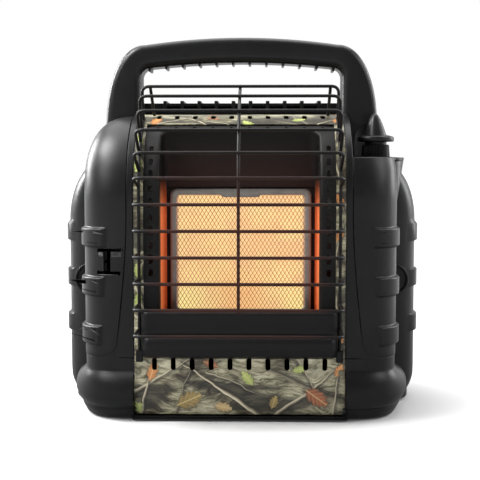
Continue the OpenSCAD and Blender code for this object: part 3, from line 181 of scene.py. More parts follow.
class Shader:
    """One material while its nodes are being written."""

    def __init__(self, name: str) -> None:
        """Starts an empty material with one Principled surface.

        Args:
            name: Name of the material.
        """
        self.material = bpy.data.materials.new(name)
        self.material.use_nodes = True
        self.tree = self.material.node_tree
        self.tree.nodes.clear()
        self.surface = self.tree.nodes.new("ShaderNodeBsdfPrincipled")
        self.output = self.tree.nodes.new("ShaderNodeOutputMaterial")
        self.show(self.surface)

    def feed(self, socket: Socket, value: object) -> None:
        """Links or sets one socket.

        Args:
            socket: The input to fill.
            value: A Level, an output socket, a colour or a number.
        """
        if isinstance(value, Level):
            self.tree.links.new(value.socket, socket)
        elif isinstance(value, Socket):
            self.tree.links.new(value, socket)
        elif isinstance(value, tuple) and socket.type == "RGBA":
            socket.default_value = (*value, 1.0)
        else:
            socket.default_value = value

    def node(self, kind: str, settings: dict | None = None,
             sockets: dict | None = None) -> bpy.types.Node:
        """Adds one node of any type.

        Args:
            kind: Type name of the node.
            settings: Its own settings; "stops" fills a colour ramp.
            sockets: Values or links of its inputs, by name or number.

        Returns:
            The node.
        """
        node = self.tree.nodes.new(kind)
        for key, value in (settings or {}).items():
            if key == "stops":
                ramp = node.color_ramp
                while len(ramp.elements) < len(value):
                    ramp.elements.new(0.5)
                for element, (position, colour) in zip(ramp.elements, value):
                    element.position = position
                    element.color = (*colour, 1.0)
            else:
                setattr(node, key, value)
        for key, value in (sockets or {}).items():
            self.feed(node.inputs[key], value)
        return node

    def maths(self, operation: str, *values: "Level | float") -> Level:
        """One Math node as a Level."""
        node = self.node("ShaderNodeMath", {"operation": operation}, dict(enumerate(values)))
        return Level(self, node.outputs[0])

    def place(self, scale: Point = (1, 1, 1), turn: Point = (0, 0, 0),
              move: Point = (0, 0, 0), sheet: bool = False) -> Socket:
        """Coordinates that a pattern is laid on.

        Args:
            scale: Stretch along each axis.
            turn: Turn about each axis, in degrees.
            move: Shift along each axis, in metres.
            sheet: Whether to follow the piece's own sheet map and not its place.

        Returns:
            The vector socket.
        """
        source = self.node("ShaderNodeTexCoord").outputs["UV" if sheet else "Object"]
        mapping = self.node("ShaderNodeMapping", {"vector_type": "POINT"}, {
            "Vector": source, "Location": tuple(move),
            "Rotation": tuple(math.radians(t) for t in turn), "Scale": tuple(scale)})
        return mapping.outputs["Vector"]

    def axes(self, vector: Socket | None = None) -> tuple[Level, Level, Level]:
        """The three parts of a vector, by default of the place on the piece."""
        node = self.node("ShaderNodeSeparateXYZ", {}, {"Vector": vector or self.place()})
        return tuple(Level(self, node.outputs[i]) for i in range(3))

    def noise(self, scale: float, detail: float = 3.0, rough: float = 0.5,
              vector: Socket | None = None, bend: float = 0.0) -> Level:
        """Cloudy pattern from 0 to 1.

        Args:
            scale: Clouds to a metre.
            detail: Octaves.
            rough: Weight of the finer octaves.
            vector: Where it is laid; the place on the piece by default.
            bend: How far the pattern warps itself.

        Returns:
            The pattern.
        """
        node = self.node("ShaderNodeTexNoise", {}, {
            "Vector": vector or self.place(), "Scale": scale, "Detail": detail, "Roughness": rough,
            "Distortion": bend})
        return Level(self, node.outputs["Fac"])

    def cells(self, scale: float, vector: Socket | None = None, jitter: float = 1.0) -> Level:
        """Scattered cells, as the distance from each one's middle."""
        node = self.node("ShaderNodeTexVoronoi", {}, {
            "Vector": vector or self.place(), "Scale": scale, "Randomness": jitter})
        return Level(self, node.outputs["Distance"])

    def ramp(self, level: Level, stops: Sequence[tuple[float, Colour]]) -> Socket:
        """Colours laid along a level."""
        return self.node("ShaderNodeValToRGB", {"stops": stops}, {"Fac": level}).outputs["Color"]

    def mix(self, factor: "Level | float", first: object, second: object) -> Socket:
        """Blend of two colours.

        Args:
            factor: Share of the second.
            first: Colour at factor 0.
            second: Colour at factor 1.

        Returns:
            The colour socket.
        """
        node = self.node("ShaderNodeMix", {"data_type": "RGBA"})
        for index, value in ((0, factor), (6, first), (7, second)):
            self.feed(node.inputs[index], value)
        return node.outputs[2]

    def bump(self, height: Level, depth: float) -> None:
        """Raises the surface by a pattern of a given depth in metres."""
        node = self.node("ShaderNodeBump", {}, {"Distance": depth, "Height": height})
        self.feed(self.surface.inputs["Normal"], node.outputs["Normal"])

    def rays(self, *kinds: str) -> Level:
        """1 for a ray of one of these kinds and 0 for any other."""
        path = self.node("ShaderNodeLightPath")
        found = [Level(self, path.outputs[f"Is {kind} Ray"]) for kind in kinds]
        return reduce(Level.most, found)

    def blend(self, factor: Level, first: bpy.types.Node, second: bpy.types.Node) -> bpy.types.Node:
        """Mixes two shaders."""
        return self.node("ShaderNodeMixShader", {}, {
            0: factor, 1: first.outputs[0], 2: second.outputs[0]})

    def show(self, shader: bpy.types.Node) -> None:
        """Puts a shader on the output."""
        self.feed(self.output.inputs["Surface"], shader.outputs[0])

    def set(self, **values: object) -> None:
        """Fills sockets of the surface; an underscore stands for a space."""
        for key, value in values.items():
            self.feed(self.surface.inputs[key.replace("_", " ")], value)


class WorldShader(Shader):
    """The world while its nodes are being written."""

    def __init__(self, name: str) -> None:
        """Starts an empty world and puts it round the scene.

        Args:
            name: Name of the world.
        """
        world = bpy.data.worlds.new(name)
        bpy.context.scene.world = world
        world.use_nodes = True
        self.tree = world.node_tree
        self.tree.nodes.clear()
        self.output = self.tree.nodes.new("ShaderNodeOutputWorld")


# ------------------------------------------------------------------ finishes


@dataclass(frozen=True)
class MouldedPlastic:
    """Satin moulded plastic with a fine stipple."""

    name: str = "moulded_plastic"
    colour: Colour = tint(15, 15, 16)
    rubbed: Colour = tint(24, 24, 26)
    roughness: float = 0.27
    stipple: float = 0.00005

    def build(self) -> Material:
        """Writes the material.

        Returns:
            The material.
        """
        s = Shader(self.name)
        cloud = s.noise(14, 4, 0.6)
        fine = s.noise(1500, 2, 0.5)
        s.set(Base_Color=s.mix(cloud.rise(0.42, 0.75) * 0.6, self.colour, self.rubbed),
              Roughness=self.roughness + cloud * 0.1 + fine * 0.08, Specular_IOR_Level=0.24)
        s.bump(fine * 0.8 + s.noise(520, 3, 0.6) * 0.5, self.stipple)
        return s.material


@dataclass(frozen=True)
class PaintedSteel:
    """Heat-proof black paint on sheet or wire."""

    name: str = "painted_steel"
    colour: Colour = tint(17, 16, 16)
    # Painted glow: the burner's orange light, painted onto the paint near the burner.
    warm: Colour = tint(58, 26, 17)
    roughness: float = 0.36
    painted_glow_mid: float = TILE_Z

    def build(self) -> Material:
        """Writes the material, with the burner's orange light painted onto it in front of the
        burner.

        Returns:
            The material.
        """
        s = Shader(self.name)
        x, _, z = s.axes()
        # Painted glow: the burner's orange light on the paint, strongest at the burner's height and
        # middle.
        near = abs(z - self.painted_glow_mid).rise(0.11, 0.03) * abs(x).rise(0.095, 0.06)
        cloud = s.noise(60, 4, 0.6)
        s.set(Base_Color=s.mix(near * (0.45 + cloud * 0.5), self.colour, self.warm),
              Roughness=self.roughness + cloud * 0.16, Specular_IOR_Level=0.2)
        s.bump(s.noise(900, 3, 0.6), 0.00006)
        return s.material


@dataclass(frozen=True)
class HeatedEnamel:
    """Dark enamel browned at the roof, painted shade inside, painted burner light on the walls."""

    name: str = "heated_enamel"
    colour: Colour = tint(16, 15, 15)
    # Painted shade: the colour inside the recess.
    dark: Colour = tint(15, 13, 12)
    brown: Colour = tint(42, 21, 14)
    # Painted light: the burner's orange light on the walls beside it, and deeper in.
    lit: Colour = tint(190, 94, 52)
    painted_glow_deep: Colour = tint(150, 58, 26)
    wall_x: float = 0.0765
    front: float = -0.0815

    def build(self) -> Material:
        """Writes the material.

        Returns:
            The material.
        """
        s = Shader(self.name)
        x, y, z = s.axes()
        cloud = s.noise(30, 4, 0.55)
        speck = s.noise(1400, 2, 0.5)
        # Painted shade: the enamel is a shade darker inside the recess.
        inside = y.rise(self.front, self.front + 0.006)
        roof = inside * z.rise(0.222, 0.232) * abs(x).rise(self.wall_x + 0.001, self.wall_x - 0.006)
        ground = s.mix(inside, self.colour, self.dark)
        ground = s.mix(roof * z.rise(0.285, 0.238) * (0.55 + cloud * 0.5), ground, self.brown)
        # Painted light: the burner's orange light on the side walls, painted into their colour and
        # a mild glow, though the walls are no lamp.
        wall = abs(x).within(self.wall_x, self.wall_x + 0.0022, 0.0003) * y.rise(-0.078, -0.070)
        glow = wall * z.rise(0.242, 0.196) * z.rise(0.095, 0.112)
        painted_glow_fade = s.mix(y.rise(-0.074, -0.034), self.lit, self.painted_glow_deep)
        s.set(Base_Color=s.mix(glow, ground, self.lit), Specular_IOR_Level=0.2,
              Roughness=0.42 + cloud * 0.14 + speck * 0.06,
              Emission_Color=s.mix(glow, (0.0, 0.0, 0.0), painted_glow_fade), Emission_Strength=0.54)
        s.bump(speck * 0.6 + cloud * 0.4, 0.00008)
        return s.material


@dataclass(frozen=True)
class WoodlandPrint:
    """Printed woodland pattern: bark, branches and fallen leaves, on the sheet's own map."""

    name: str = "woodland_print"
    dark: Colour = tint(34, 32, 25)
    olive: Colour = tint(92, 89, 66)
    khaki: Colour = tint(144, 139, 112)
    pale: Colour = tint(186, 181, 154)
    fold: float = 0.067
    branches: tuple[tuple[float, ...], ...] = (
        (22, 5, 147, 112, 1.9, 0.95), (108, 17, 156, 92, 2.7, 0.2), (-108, 26, 31, 74, 1.5, 0.8),
        (36, 5, 38, 84, 1.6, 0.8), (-34, 47, -19, 56, 0.9, 0.65), (54, 62, -58, 52, 1.0, 0.6),
        (-66, 3, 68, 60, 1.1, 0.3), (92, 2, 82, 62, 1.2, 0.75), (-100, 0, 76, 66, 1.3, 0.85))
    leaves: tuple[tuple[float, ...], ...] = (
        (-50, 20, 24, 15, 8.5, 0), (-86, 49, 72, 12, 5, 1), (76, 23, -36, 15, 8, 2),
        (8, 42, 128, 10, 5, 3), (59, 51, 12, 8, 4, 3), (-16, 13, -12, 10, 5, 4),
        (98, 50, 62, 8, 4, 1), (-100, 14, 100, 9, 4, 3), (34, 18, 70, 8, 4.5, 0),
        (-28, 56, 160, 9, 4, 2))
    leaf_colours: tuple[tuple[Colour, Colour], ...] = (
        (tint(104, 84, 40), tint(150, 128, 70)), (tint(150, 84, 36), tint(196, 132, 70)),
        (tint(112, 54, 32), tint(158, 92, 52)), (tint(112, 132, 54), tint(176, 186, 104)),
        (tint(150, 120, 74), tint(198, 174, 124)))

    def build(self) -> Material:
        """Writes the material.

        Returns:
            The material.
        """
        s = Shader(self.name)
        sheet = s.place(sheet=True)
        warp = s.noise(16, 3, 0.5, sheet)
        drift = s.node("ShaderNodeCombineXYZ", {}, {"Y": warp * 16}).outputs["Vector"]
        along = s.node("ShaderNodeVectorMath", {"operation": "ADD"}, {
            0: s.place((60, 300, 1), (0, 0, -8), sheet=True), 1: drift})
        grain = s.noise(1, 6, 0.68, along.outputs["Vector"], 0.8)
        patch = s.noise(24, 3, 0.5, s.place((1, 1.5, 1), (0, 0, 30), (0.31, 0.12, 0), True), 0.8)
        shade = s.noise(17, 2, 0.5, s.place((0.55, 2.2, 1), (0, 0, 38), (0.83, 0.4, 0), True), 0.6)
        stops = ((0.42, self.dark), (0.50, self.olive), (0.58, self.khaki), (0.70, self.pale))
        ground = s.ramp(grain * 0.72 + patch * 0.38, stops)
        ground = s.mix(patch.rise(0.48, 0.38) * 0.6, ground, s.mix(0.6, ground, tint(70, 54, 38)))
        ground = s.mix(shade.rise(0.49, 0.58) * 0.82, ground, tint(38, 35, 27))
        for branch in self.branches:
            ground = self.branch(s, ground, *branch)
        for leaf in self.leaves:
            ground = self.leaf(s, ground, *leaf)
        wear = s.noise(700, 2, 0.5, sheet)
        s.set(Base_Color=ground, Roughness=0.40 + wear * 0.12, Coat_Weight=0.15,
              Coat_Roughness=0.25)
        s.bump(wear, 0.00003)
        return s.material

    def spot(self, s: Shader, x: float, up: float, turn: float) -> tuple[Level, Level]:
        """Place from a spot of the sheet, along a direction and across it, in millimetres.

        Args:
            s: The material being written.
            x: Spot across the sheet, in millimetres.
            up: Spot up the sheet; the layout folds back and forth above its first stretch.
            turn: Direction, in degrees.

        Returns:
            How far along and how far across.
        """
        u, v, _ = s.axes(s.place(sheet=True))
        u, v = u * 1000 - x, s.maths("PINGPONG", v, self.fold) * 1000 - up
        c, n = math.cos(math.radians(turn)), math.sin(math.radians(turn))
        return u * c + v * n, v * c - u * n

    def branch(self, s: Shader, ground: object, x: float, up: float, turn: float, length: float,
               width: float, light: float) -> Socket:
        """Lays one bent, tapering branch and its shadow over the ground.

        Args:
            s: The material being written.
            ground: Colour under it.
            x: Its foot across the sheet, in millimetres.
            up: Its foot up the sheet.
            turn: Its direction, in degrees.
            length: Its length.
            width: Half its width at the foot.
            light: How pale it is, from 0 to 1.

        Returns:
            The colour with the branch on it.
        """
        a, b = self.spot(s, x, up, turn)
        b = b + (s.noise(19, 3, 0.55, s.place(move=(x * 0.01, 0, 0), sheet=True)) - 0.5) * 16
        share = a / length
        thin = (1.15 - share) * width
        inside = share.within(0.0, 1.0, 0.02)
        shadow = abs(b + thin * 1.3).rise(3.2, 0.6) * inside
        mask = (thin - abs(b)).rise(-0.18, 0.18) * inside
        bark = s.noise(900, 2, 0.6, s.place(sheet=True))
        tone = (b / thin).rise(-1.0, 0.7) * (0.6 + bark * 0.6)
        shade = s.mix(tone, s.mix(light, tint(30, 25, 20), tint(86, 74, 54)),
                      s.mix(light, tint(92, 80, 62), tint(206, 198, 168)))
        return s.mix(mask, s.mix(shadow * 0.6, ground, tint(32, 28, 21)), shade)

    def leaf(self, s: Shader, ground: object, x: float, up: float, turn: float, length: float,
             width: float, kind: int) -> Socket:
        """Lays one lobed leaf with its veins over the ground.

        Args:
            s: The material being written.
            ground: Colour under it.
            x: Its middle across the sheet, in millimetres.
            up: Its middle up the sheet.
            turn: Its direction, in degrees.
            length: Half its length.
            width: Half its width.
            kind: Number of its colour.

        Returns:
            The colour with the leaf on it.
        """
        colour, tip = self.leaf_colours[kind]
        a, b = self.spot(s, x, up, turn)
        a, b = a / length, abs(b) / width
        lobes = s.maths("PINGPONG", a * 2.2 - b * 0.9 + 4, 0.5)
        ragged = s.noise(260, 2, 0.5, s.place(sheet=True))
        edge = a * a + b + (0.26 - lobes) * 0.75 + (ragged - 0.5) * 0.5
        mask = edge.rise(0.98, 0.88)
        ribs = s.maths("PINGPONG", a * 3 - b * 1.6 + 6, 0.5).rise(0.07, 0.02) * 0.6
        veins = b.rise(0.10, 0.02).most(ribs) * 0.55
        blade = s.mix(ragged * 0.6 + (a + 1) * 0.25, colour, tip)
        blade = s.mix(edge.rise(0.55, 0.95) * 0.45, blade, tint(52, 40, 24))
        ground = s.mix(edge.rise(1.5, 0.9) * 0.45, ground, tint(30, 26, 18))
        return s.mix(mask, ground, s.mix(veins, blade, tint(206, 188, 132)))


@dataclass(frozen=True)
class GlowingTile:
    """Perforated ceramic at working heat."""

    name: str = "glowing_tile"
    hot: Colour = tint(255, 232, 164)
    warm: Colour = tint(248, 212, 156)
    yellow: Colour = tint(255, 244, 164)
    half_w: float = TILE_HALF_W
    half_h: float = TILE_HALF_H
    mid_z: float = TILE_Z
    hole_pitch: float = 0.00175

    def build(self) -> Material:
        """Writes the material.

        Returns:
            The material.
        """
        s = Shader(self.name)
        x, y, z = s.axes()
        up = z - self.mid_z
        cloud = s.noise(26, 3, 0.55, s.place((1, 1, 1.3), (0, 0, 0), (0.4, 0, 0.1)))
        holes = s.cells(1 / self.hole_pitch, s.place((1, 0, 1)), 0.08)
        pores = holes.rise(0.20, 0.42)
        colour = s.mix(cloud.rise(0.36, 0.66), self.warm, self.hot)
        corner = abs(x).rise(0.028, 0.060) * up.rise(-0.026, -0.052)
        colour = s.mix(corner * 0.9, colour, self.yellow)
        middle = abs(x).rise(0.045, 0.0) * up.rise(-0.005, -0.05) * 0.55
        colour = s.mix(middle, colour, tint(246, 182, 124))
        colour = s.mix((1 - pores) * 0.28, colour, tint(232, 150, 84))
        side = abs(x).rise(self.half_w - 0.0055, self.half_w - 0.0015)
        top = up.rise(self.half_h - 0.0035, self.half_h - 0.001)
        cold = side.most(top)
        face = y.rise(-0.0295, -0.0305)
        grit = s.noise(900, 2, 0.6)
        cool = s.mix(grit.rise(0.4, 0.62), tint(120, 98, 92), tint(206, 176, 158))
        lit = s.mix(cold, colour, s.mix(0.5, cool, tint(206, 128, 84)))
        glow = s.mix(cold * 0.8, lit, (0.10, 0.07, 0.06))
        s.set(Base_Color=s.mix(cold, tint(128, 92, 60), cool), Roughness=0.85 + pores * 0.1,
              Emission_Color=s.mix(face, (0.02, 0.008, 0.004), glow), Emission_Strength=0.98)
        s.bump(pores, 0.0003)
        return s.material


@dataclass(frozen=True)
class GlowingScreen:
    """Thin wire screen in front of the tile, glowing dull orange."""

    name: str = "glowing_screen"
    colour: Colour = tint(96, 54, 34)
    glow: Colour = tint(176, 98, 52)
    half_w: float = TILE_HALF_W

    def build(self) -> Material:
        """Writes the material.

        Returns:
            The material.
        """
        s = Shader(self.name)
        x, _, _ = s.axes()
        cool = abs(x).rise(self.half_w - 0.006, self.half_w - 0.001)
        cloud = s.noise(40, 3, 0.5)
        hot = s.mix(cloud.rise(0.35, 0.65), tint(150, 78, 42), self.glow)
        s.set(Base_Color=s.mix(cool, self.colour, tint(150, 140, 134)), Metallic=cool * 0.8,
              Roughness=0.5 + cloud * 0.2, Emission_Color=s.mix(cool, hot, tint(44, 32, 28)),
              Emission_Strength=0.85)
        return s.material


@dataclass(frozen=True)
class BareMetal:
    """Metal without paint, with fine drawn streaks and light soiling."""

    name: str
    colour: Colour
    roughness: float = 0.3
    streak: Triple = (40, 400, 900)
    soiling: Colour = tint(90, 82, 74)

    def build(self) -> Material:
        """Writes the material.

        Returns:
            The material.
        """
        s = Shader(self.name)
        drawn = s.noise(1, 4, 0.6, s.place(self.streak))
        cloud = s.noise(45, 4, 0.6)
        s.set(Base_Color=s.mix(cloud.rise(0.5, 0.8) * 0.35, self.colour, self.soiling),
              Metallic=1.0, Roughness=self.roughness + drawn * 0.16 + cloud * 0.1)
        s.bump(drawn, 0.00003)
        return s.material


@dataclass(frozen=True)
class PlainMoulding:
    """Small moulded, fired or rubber part of one colour, with faint patches on it."""

    name: str
    colour: Colour
    roughness: float = 0.5
    fleck: Colour = tint(120, 118, 112)
    patches: tuple[float, float, float, float] = (120, 0.5, 0.85, 0.3)
    uneven: float = 0.15
    grain: Triple = (800, 3, 0.00005)

    def build(self) -> Material:
        """Writes the material.

        Returns:
            The material.
        """
        s = Shader(self.name)
        scale, start, end, share = self.patches
        cloud = s.noise(scale, 4, 0.6)
        s.set(Base_Color=s.mix(cloud.rise(start, end) * share, self.colour, self.fleck),
              Roughness=self.roughness + cloud * self.uneven)
        scale, detail, depth = self.grain
        s.bump(s.noise(scale, detail, 0.5), depth)
        return s.material


PLASTIC = MouldedPlastic()
KNOB_PLASTIC = MouldedPlastic("knob_plastic", tint(18, 18, 19), tint(26, 26, 28), 0.28)
# Both paints carry a painted glow of the burner's orange light near the burner, faint on the
# deflector.
GUARD_PAINT = PaintedSteel("guard_paint")
DEFLECTOR_PAINT = PaintedSteel("deflector_paint", tint(17, 17, 18), tint(22, 19, 18), 0.30)
ENAMEL = HeatedEnamel()
PRINT = WoodlandPrint()
TILE = GlowingTile()
SCREEN = GlowingScreen()
BEZEL_STEEL = BareMetal("bezel_steel", tint(148, 145, 140), 0.34, (300, 300, 300), tint(74, 66, 60))
ALUMINIUM = BareMetal("aluminium", tint(190, 191, 192), 0.34)
ZINC = BareMetal("zinc_plate", tint(168, 170, 170), 0.36, (300, 300, 300))
BRASS = BareMetal("brass", tint(196, 158, 86), 0.28, (300, 300, 300), tint(112, 84, 44))
COPPER = BareMetal("copper", tint(186, 112, 78), 0.3, (300, 300, 300), tint(98, 60, 44))
RUBBER = PlainMoulding("soft_rubber", tint(24, 24, 25), 0.74, tint(52, 51, 50),
                       (160, 0.45, 0.75, 0.5), 0.16, (1100, 2, 0.00008))
FIBRE = PlainMoulding("gasket_fibre", tint(214, 210, 200), 0.9)
CERAMIC = PlainMoulding("white_ceramic", tint(232, 228, 216), 0.3)
IVORY = PlainMoulding("ivory_case", tint(216, 212, 196), 0.45)
RED = PlainMoulding("red_button", tint(168, 30, 24), 0.4)
WIRE_RED = PlainMoulding("red_insulation", tint(132, 34, 28), 0.5)
WIRE_BLUE = PlainMoulding("blue_insulation", tint(44, 58, 128), 0.5)
OLIVE = PlainMoulding("olive_paint", tint(92, 89, 68), 0.5, tint(120, 114, 92))
IGNITER = PlainMoulding("igniter_case", tint(36, 36, 38), 0.42)


# ------------------------------------------------------------------ shaping


class Cut(Enum):
    """What one solid does to another."""

    TAKE = "DIFFERENCE"
    JOIN = "UNION"
    KEEP = "INTERSECT"


def clamp(value: float) -> float:
    """Keeps a number between 0 and 1."""
    return min(1.0, max(0.0, value))


def placed(name: str, data: bpy.types.ID) -> bpy.types.Object:
    """Puts data into the scene as an object."""
    obj = bpy.data.objects.new(name, data)
    bpy.context.scene.collection.objects.link(obj)
    return obj


def mesh_of(name: str, bm: Form) -> bpy.types.Mesh:
    """Makes a mesh of a bmesh and frees it."""
    mesh = bpy.data.meshes.new(name)
    bm.to_mesh(mesh)
    bm.free()
    return mesh


def draped(across: int | Sequence, along: int | Sequence, place: Place) -> Form:
    """Makes a grid of faces and lays it over a form.

    Args:
        across: Faces along the first direction, or the settings of its lines.
        along: Faces along the second direction, or the settings of its lines.
        place: Gives the point for a share from 0 to 1, or a setting, in both directions.

    Returns:
        The mesh.
    """
    def line(side: int | Sequence, share: float) -> object:
        """The share itself, or the setting of the line there."""
        return share if isinstance(side, int) else side[round(share * (len(side) - 1))]

    bm = bmesh.new()
    faces = [side if isinstance(side, int) else len(side) - 1 for side in (across, along)]
    bmesh.ops.create_grid(bm, x_segments=faces[0], y_segments=faces[1], size=0.5)
    for vert in bm.verts:
        vert.co = place(line(across, vert.co.x + 0.5), line(along, vert.co.y + 0.5))
    bm.normal_update()
    return bm


def add(bm: Form, other: Form) -> Form:
    """Puts a second mesh into the first and frees it."""
    mesh = mesh_of("part", other)
    bm.from_mesh(mesh)
    bpy.data.meshes.remove(mesh)
    return bm


def gathered(parts: Sequence[Form]) -> Form:
    """Puts several meshes into one."""
    return reduce(add, parts, bmesh.new())


def moved(bm: Form, by: Point) -> Form:
    """Shifts a mesh."""
    bmesh.ops.translate(bm, vec=by, verts=bm.verts)
    return bm


def welded(bm: Form, gap: float = WELD) -> Form:
    """Merges points that lie closer than a gap."""
    bmesh.ops.remove_doubles(bm, verts=bm.verts, dist=gap)
    return bm


def mirrored(bm: Form, when: bool) -> Form:
    """Turns a right part into a left one where that is wanted.

    Args:
        bm: The right part.
        when: Whether the left one is wanted.

    Returns:
        The mesh.
    """
    if when:
        bmesh.ops.scale(bm, vec=(-1, 1, 1), verts=bm.verts)
        bmesh.ops.reverse_faces(bm, faces=bm.faces)
        bm.normal_update()
    return bm


def facing_front(bm: Form) -> Form:
    """Turns the faces so that the largest one looks to the front."""
    if max(bm.faces, key=lambda face: face.calc_area()).normal.y > 0:
        bmesh.ops.reverse_faces(bm, faces=bm.faces)
    return bm


def walled(bm: Form, thickness: float) -> Form:
    """Gives a sheet its thickness, away from its face."""
    bmesh.ops.solidify(bm, geom=bm.faces[:], thickness=thickness)
    bmesh.ops.recalc_face_normals(bm, faces=bm.faces)
    return bm


def bevelled(bm: Form, edges: Sequence[bmesh.types.BMEdge], radius: float, segments: int) -> Form:
    """Rounds some edges of a mesh."""
    bmesh.ops.bevel(bm, geom=edges, offset=radius, segments=segments, profile=0.5, affect="EDGES",
                    material=-1)
    return bm


def sealed(bm: Form) -> Form:
    """Merges doubles, closes open ends and points the faces outwards.

    Args:
        bm: An open mesh.

    Returns:
        The closed mesh.
    """
    welded(bm)
    bmesh.ops.dissolve_degenerate(bm, dist=1e-7, edges=bm.edges)
    bmesh.ops.holes_fill(bm, edges=[e for e in bm.edges if e.is_boundary], sides=0)
    bmesh.ops.recalc_face_normals(bm, faces=bm.faces)
    return bm


def block(low: Point, high: Point, edge: float = 0.0, segments: int = 2) -> Form:
    """Box between two corners, with its edges rounded if wanted.

    Args:
        low: Lowest corner.
        high: Highest corner.
        edge: Radius of the edges.
        segments: Steps of the rounding.

    Returns:
        The mesh.
    """
    bm = bmesh.new()
    bmesh.ops.create_cube(bm, size=1.0)
    low, high = Vector(low), Vector(high)
    bmesh.ops.scale(bm, vec=high - low, verts=bm.verts)
    moved(bm, (low + high) / 2)
    return bevelled(bm, bm.edges[:], edge, segments) if edge else bm


def slot(low: Point, high: Point, radius: float, segments: int) -> Form:
    """Cutter between two corners that runs front to back, its corners rounded."""
    bm = block(low, high)
    ends = [e for e in bm.edges if abs((e.verts[0].co - e.verts[1].co).normalized().y) > 0.9]
    return bevelled(bm, ends, radius, segments)


def ball(centre: Point, radius: float, around: int, rings: int) -> Form:
    """Ball about a point."""
    bm = bmesh.new()
    bmesh.ops.create_uvsphere(bm, u_segments=around, v_segments=rings, radius=radius)
    return moved(bm, centre)


def bolt(centre: Point, radius: float, length: float, axis: Point = (0, 0, 1),
         sides: int = 40) -> Form:
    """Round bar that starts at a point and runs along an axis.

    Args:
        centre: Middle of its first end.
        radius: Its radius.
        length: Its length.
        axis: Direction that it runs in.
        sides: Faces around it.

    Returns:
        The mesh.
    """
    bm = bmesh.new()
    bmesh.ops.create_cone(bm, cap_ends=True, segments=sides, radius1=radius, radius2=radius,
                          depth=length)
    moved(bm, (0, 0, length / 2))
    turn = Vector((0, 0, 1)).rotation_difference(Vector(axis)).to_matrix().to_4x4()
    bmesh.ops.transform(bm, matrix=Matrix.Translation(Vector(centre)) @ turn, verts=bm.verts)
    return bm


def prism(outline: Sequence[Point], reach: Point) -> Form:
    """Draws a flat closed outline out along a vector.

    Args:
        outline: Corners in order.
        reach: The vector.

    Returns:
        The closed mesh.
    """
    bm = bmesh.new()
    face = bm.faces.new([bm.verts.new(p) for p in outline])
    drawn = bmesh.ops.extrude_face_region(bm, geom=[face])["geom"]
    verts = [g for g in drawn if isinstance(g, bmesh.types.BMVert)]
    bmesh.ops.translate(bm, vec=reach, verts=verts)
    bmesh.ops.recalc_face_normals(bm, faces=bm.faces)
    return bm


def turned(profile: Sequence[Pair], centre: Point,
           steps: int) -> Form:
    """Spins a profile of radius and height about an upright axis.

    Args:
        profile: Radius and height of each point, from one end of the axis to the other.
        centre: Foot of the axis.
        steps: Steps of the spin.

    Returns:
        The mesh.
    """
    bm = bmesh.new()
    verts = [bm.verts.new((r, 0, z)) for r, z in profile]
    edges = [bm.edges.new(pair) for pair in zip(verts, verts[1:])]
    bmesh.ops.spin(bm, geom=verts + edges, cent=(0, 0, 0), axis=(0, 0, 1), angle=math.tau,
                   steps=steps, use_merge=True)
    moved(welded(bm), centre)
    bmesh.ops.recalc_face_normals(bm, faces=bm.faces)
    return bm


def rounded(points: Sequence[Vector], radius: float, steps: int = 6) -> list[Vector]:
    """Rounds the corners of a path.

    Args:
        points: Corners of the path.
        radius: Radius of each bend, made smaller where there is no room.
        steps: Points to a bend.

    Returns:
        The path with its bends.
    """
    path = [points[0]]
    for before, corner, after in zip(points, points[1:], points[2:]):
        one, two = before - corner, after - corner
        room = min(one.length, two.length) * 0.48
        half = one.angle(two) / 2
        cut = min(radius / max(math.tan(half), 1e-3), room)
        start, end = corner + one.normalized() * cut, corner + two.normalized() * cut
        for i in range(steps + 1):
            t = i / steps
            path.append(start.lerp(corner, t).lerp(corner.lerp(end, t), t))
    path.append(points[-1])
    return path


def tube(path: Sequence[Vector], radius: float, sides: int = 10) -> Form:
    """Round bar that follows a path, closed at both ends.

    Args:
        path: Points of its middle line.
        radius: Its radius.
        sides: Faces around it.

    Returns:
        The closed mesh.
    """
    points = [p for i, p in enumerate(path) if i == 0 or (p - path[i - 1]).length > WELD]
    aims = [(points[min(i + 1, len(points) - 1)] - points[max(i - 1, 0)]).normalized()
            for i in range(len(points))]
    side = aims[0].orthogonal().normalized()
    frames = []
    for aim in aims:
        side = (side - aim * side.dot(aim)).normalized()
        frames.append((side, aim.cross(side)))

    def place(u: float, at: tuple[Vector, tuple[Vector, Vector]]) -> Vector:
        """Point on the bar."""
        middle, (across, other) = at
        angle = u * math.tau
        return middle + radius * (math.cos(angle) * across + math.sin(angle) * other)

    return sealed(draped(sides, list(zip(points, frames)), place))


def combined(base: Form, tool: Form, cut: Cut,
             overlapping: bool = False) -> Form:
    """Cuts, joins or trims one solid by another.

    Args:
        base: The solid to change; it is freed.
        tool: The other solid; it is freed.
        cut: What the tool does.
        overlapping: Whether the tool's own parts overlap.

    Returns:
        The resulting mesh.
    """
    pair = [placed("solid", mesh_of("solid", bm)) for bm in (base, tool)]
    modifier = pair[0].modifiers.new("cut", "BOOLEAN")
    modifier.object, modifier.operation, modifier.solver = pair[1], cut.value, "EXACT"
    modifier.use_self = overlapping
    graph = bpy.context.evaluated_depsgraph_get()
    mesh = bpy.data.meshes.new_from_object(pair[0].evaluated_get(graph))
    result = bmesh.new()
    result.from_mesh(mesh)
    for old in [mesh] + [obj.data for obj in pair]:
        bpy.data.meshes.remove(old)
    return result


def shoulder(level: float, start: float, end: float, power: float) -> float:
    """1 below start and 0 above end, with a round shoulder between.

    Args:
        level: Where it is read.
        start: Where the fall starts.
        end: Where it ends.
        power: Squareness, 2 for an ellipse.

    Returns:
        The value.
    """
    if level <= start:
        return 1.0
    if level >= end:
        return 0.0
    return (1 - ((level - start) / (end - start)) ** power) ** (1 / power)


def bezier(p: Sequence[Point], t: float) -> Pair:
    """Point on a flat cubic curve."""
    w = ((1 - t) ** 3, 3 * t * (1 - t) ** 2, 3 * t * t * (1 - t), t ** 3)
    return sum(a * q[0] for a, q in zip(w, p)), sum(a * q[1] for a, q in zip(w, p))


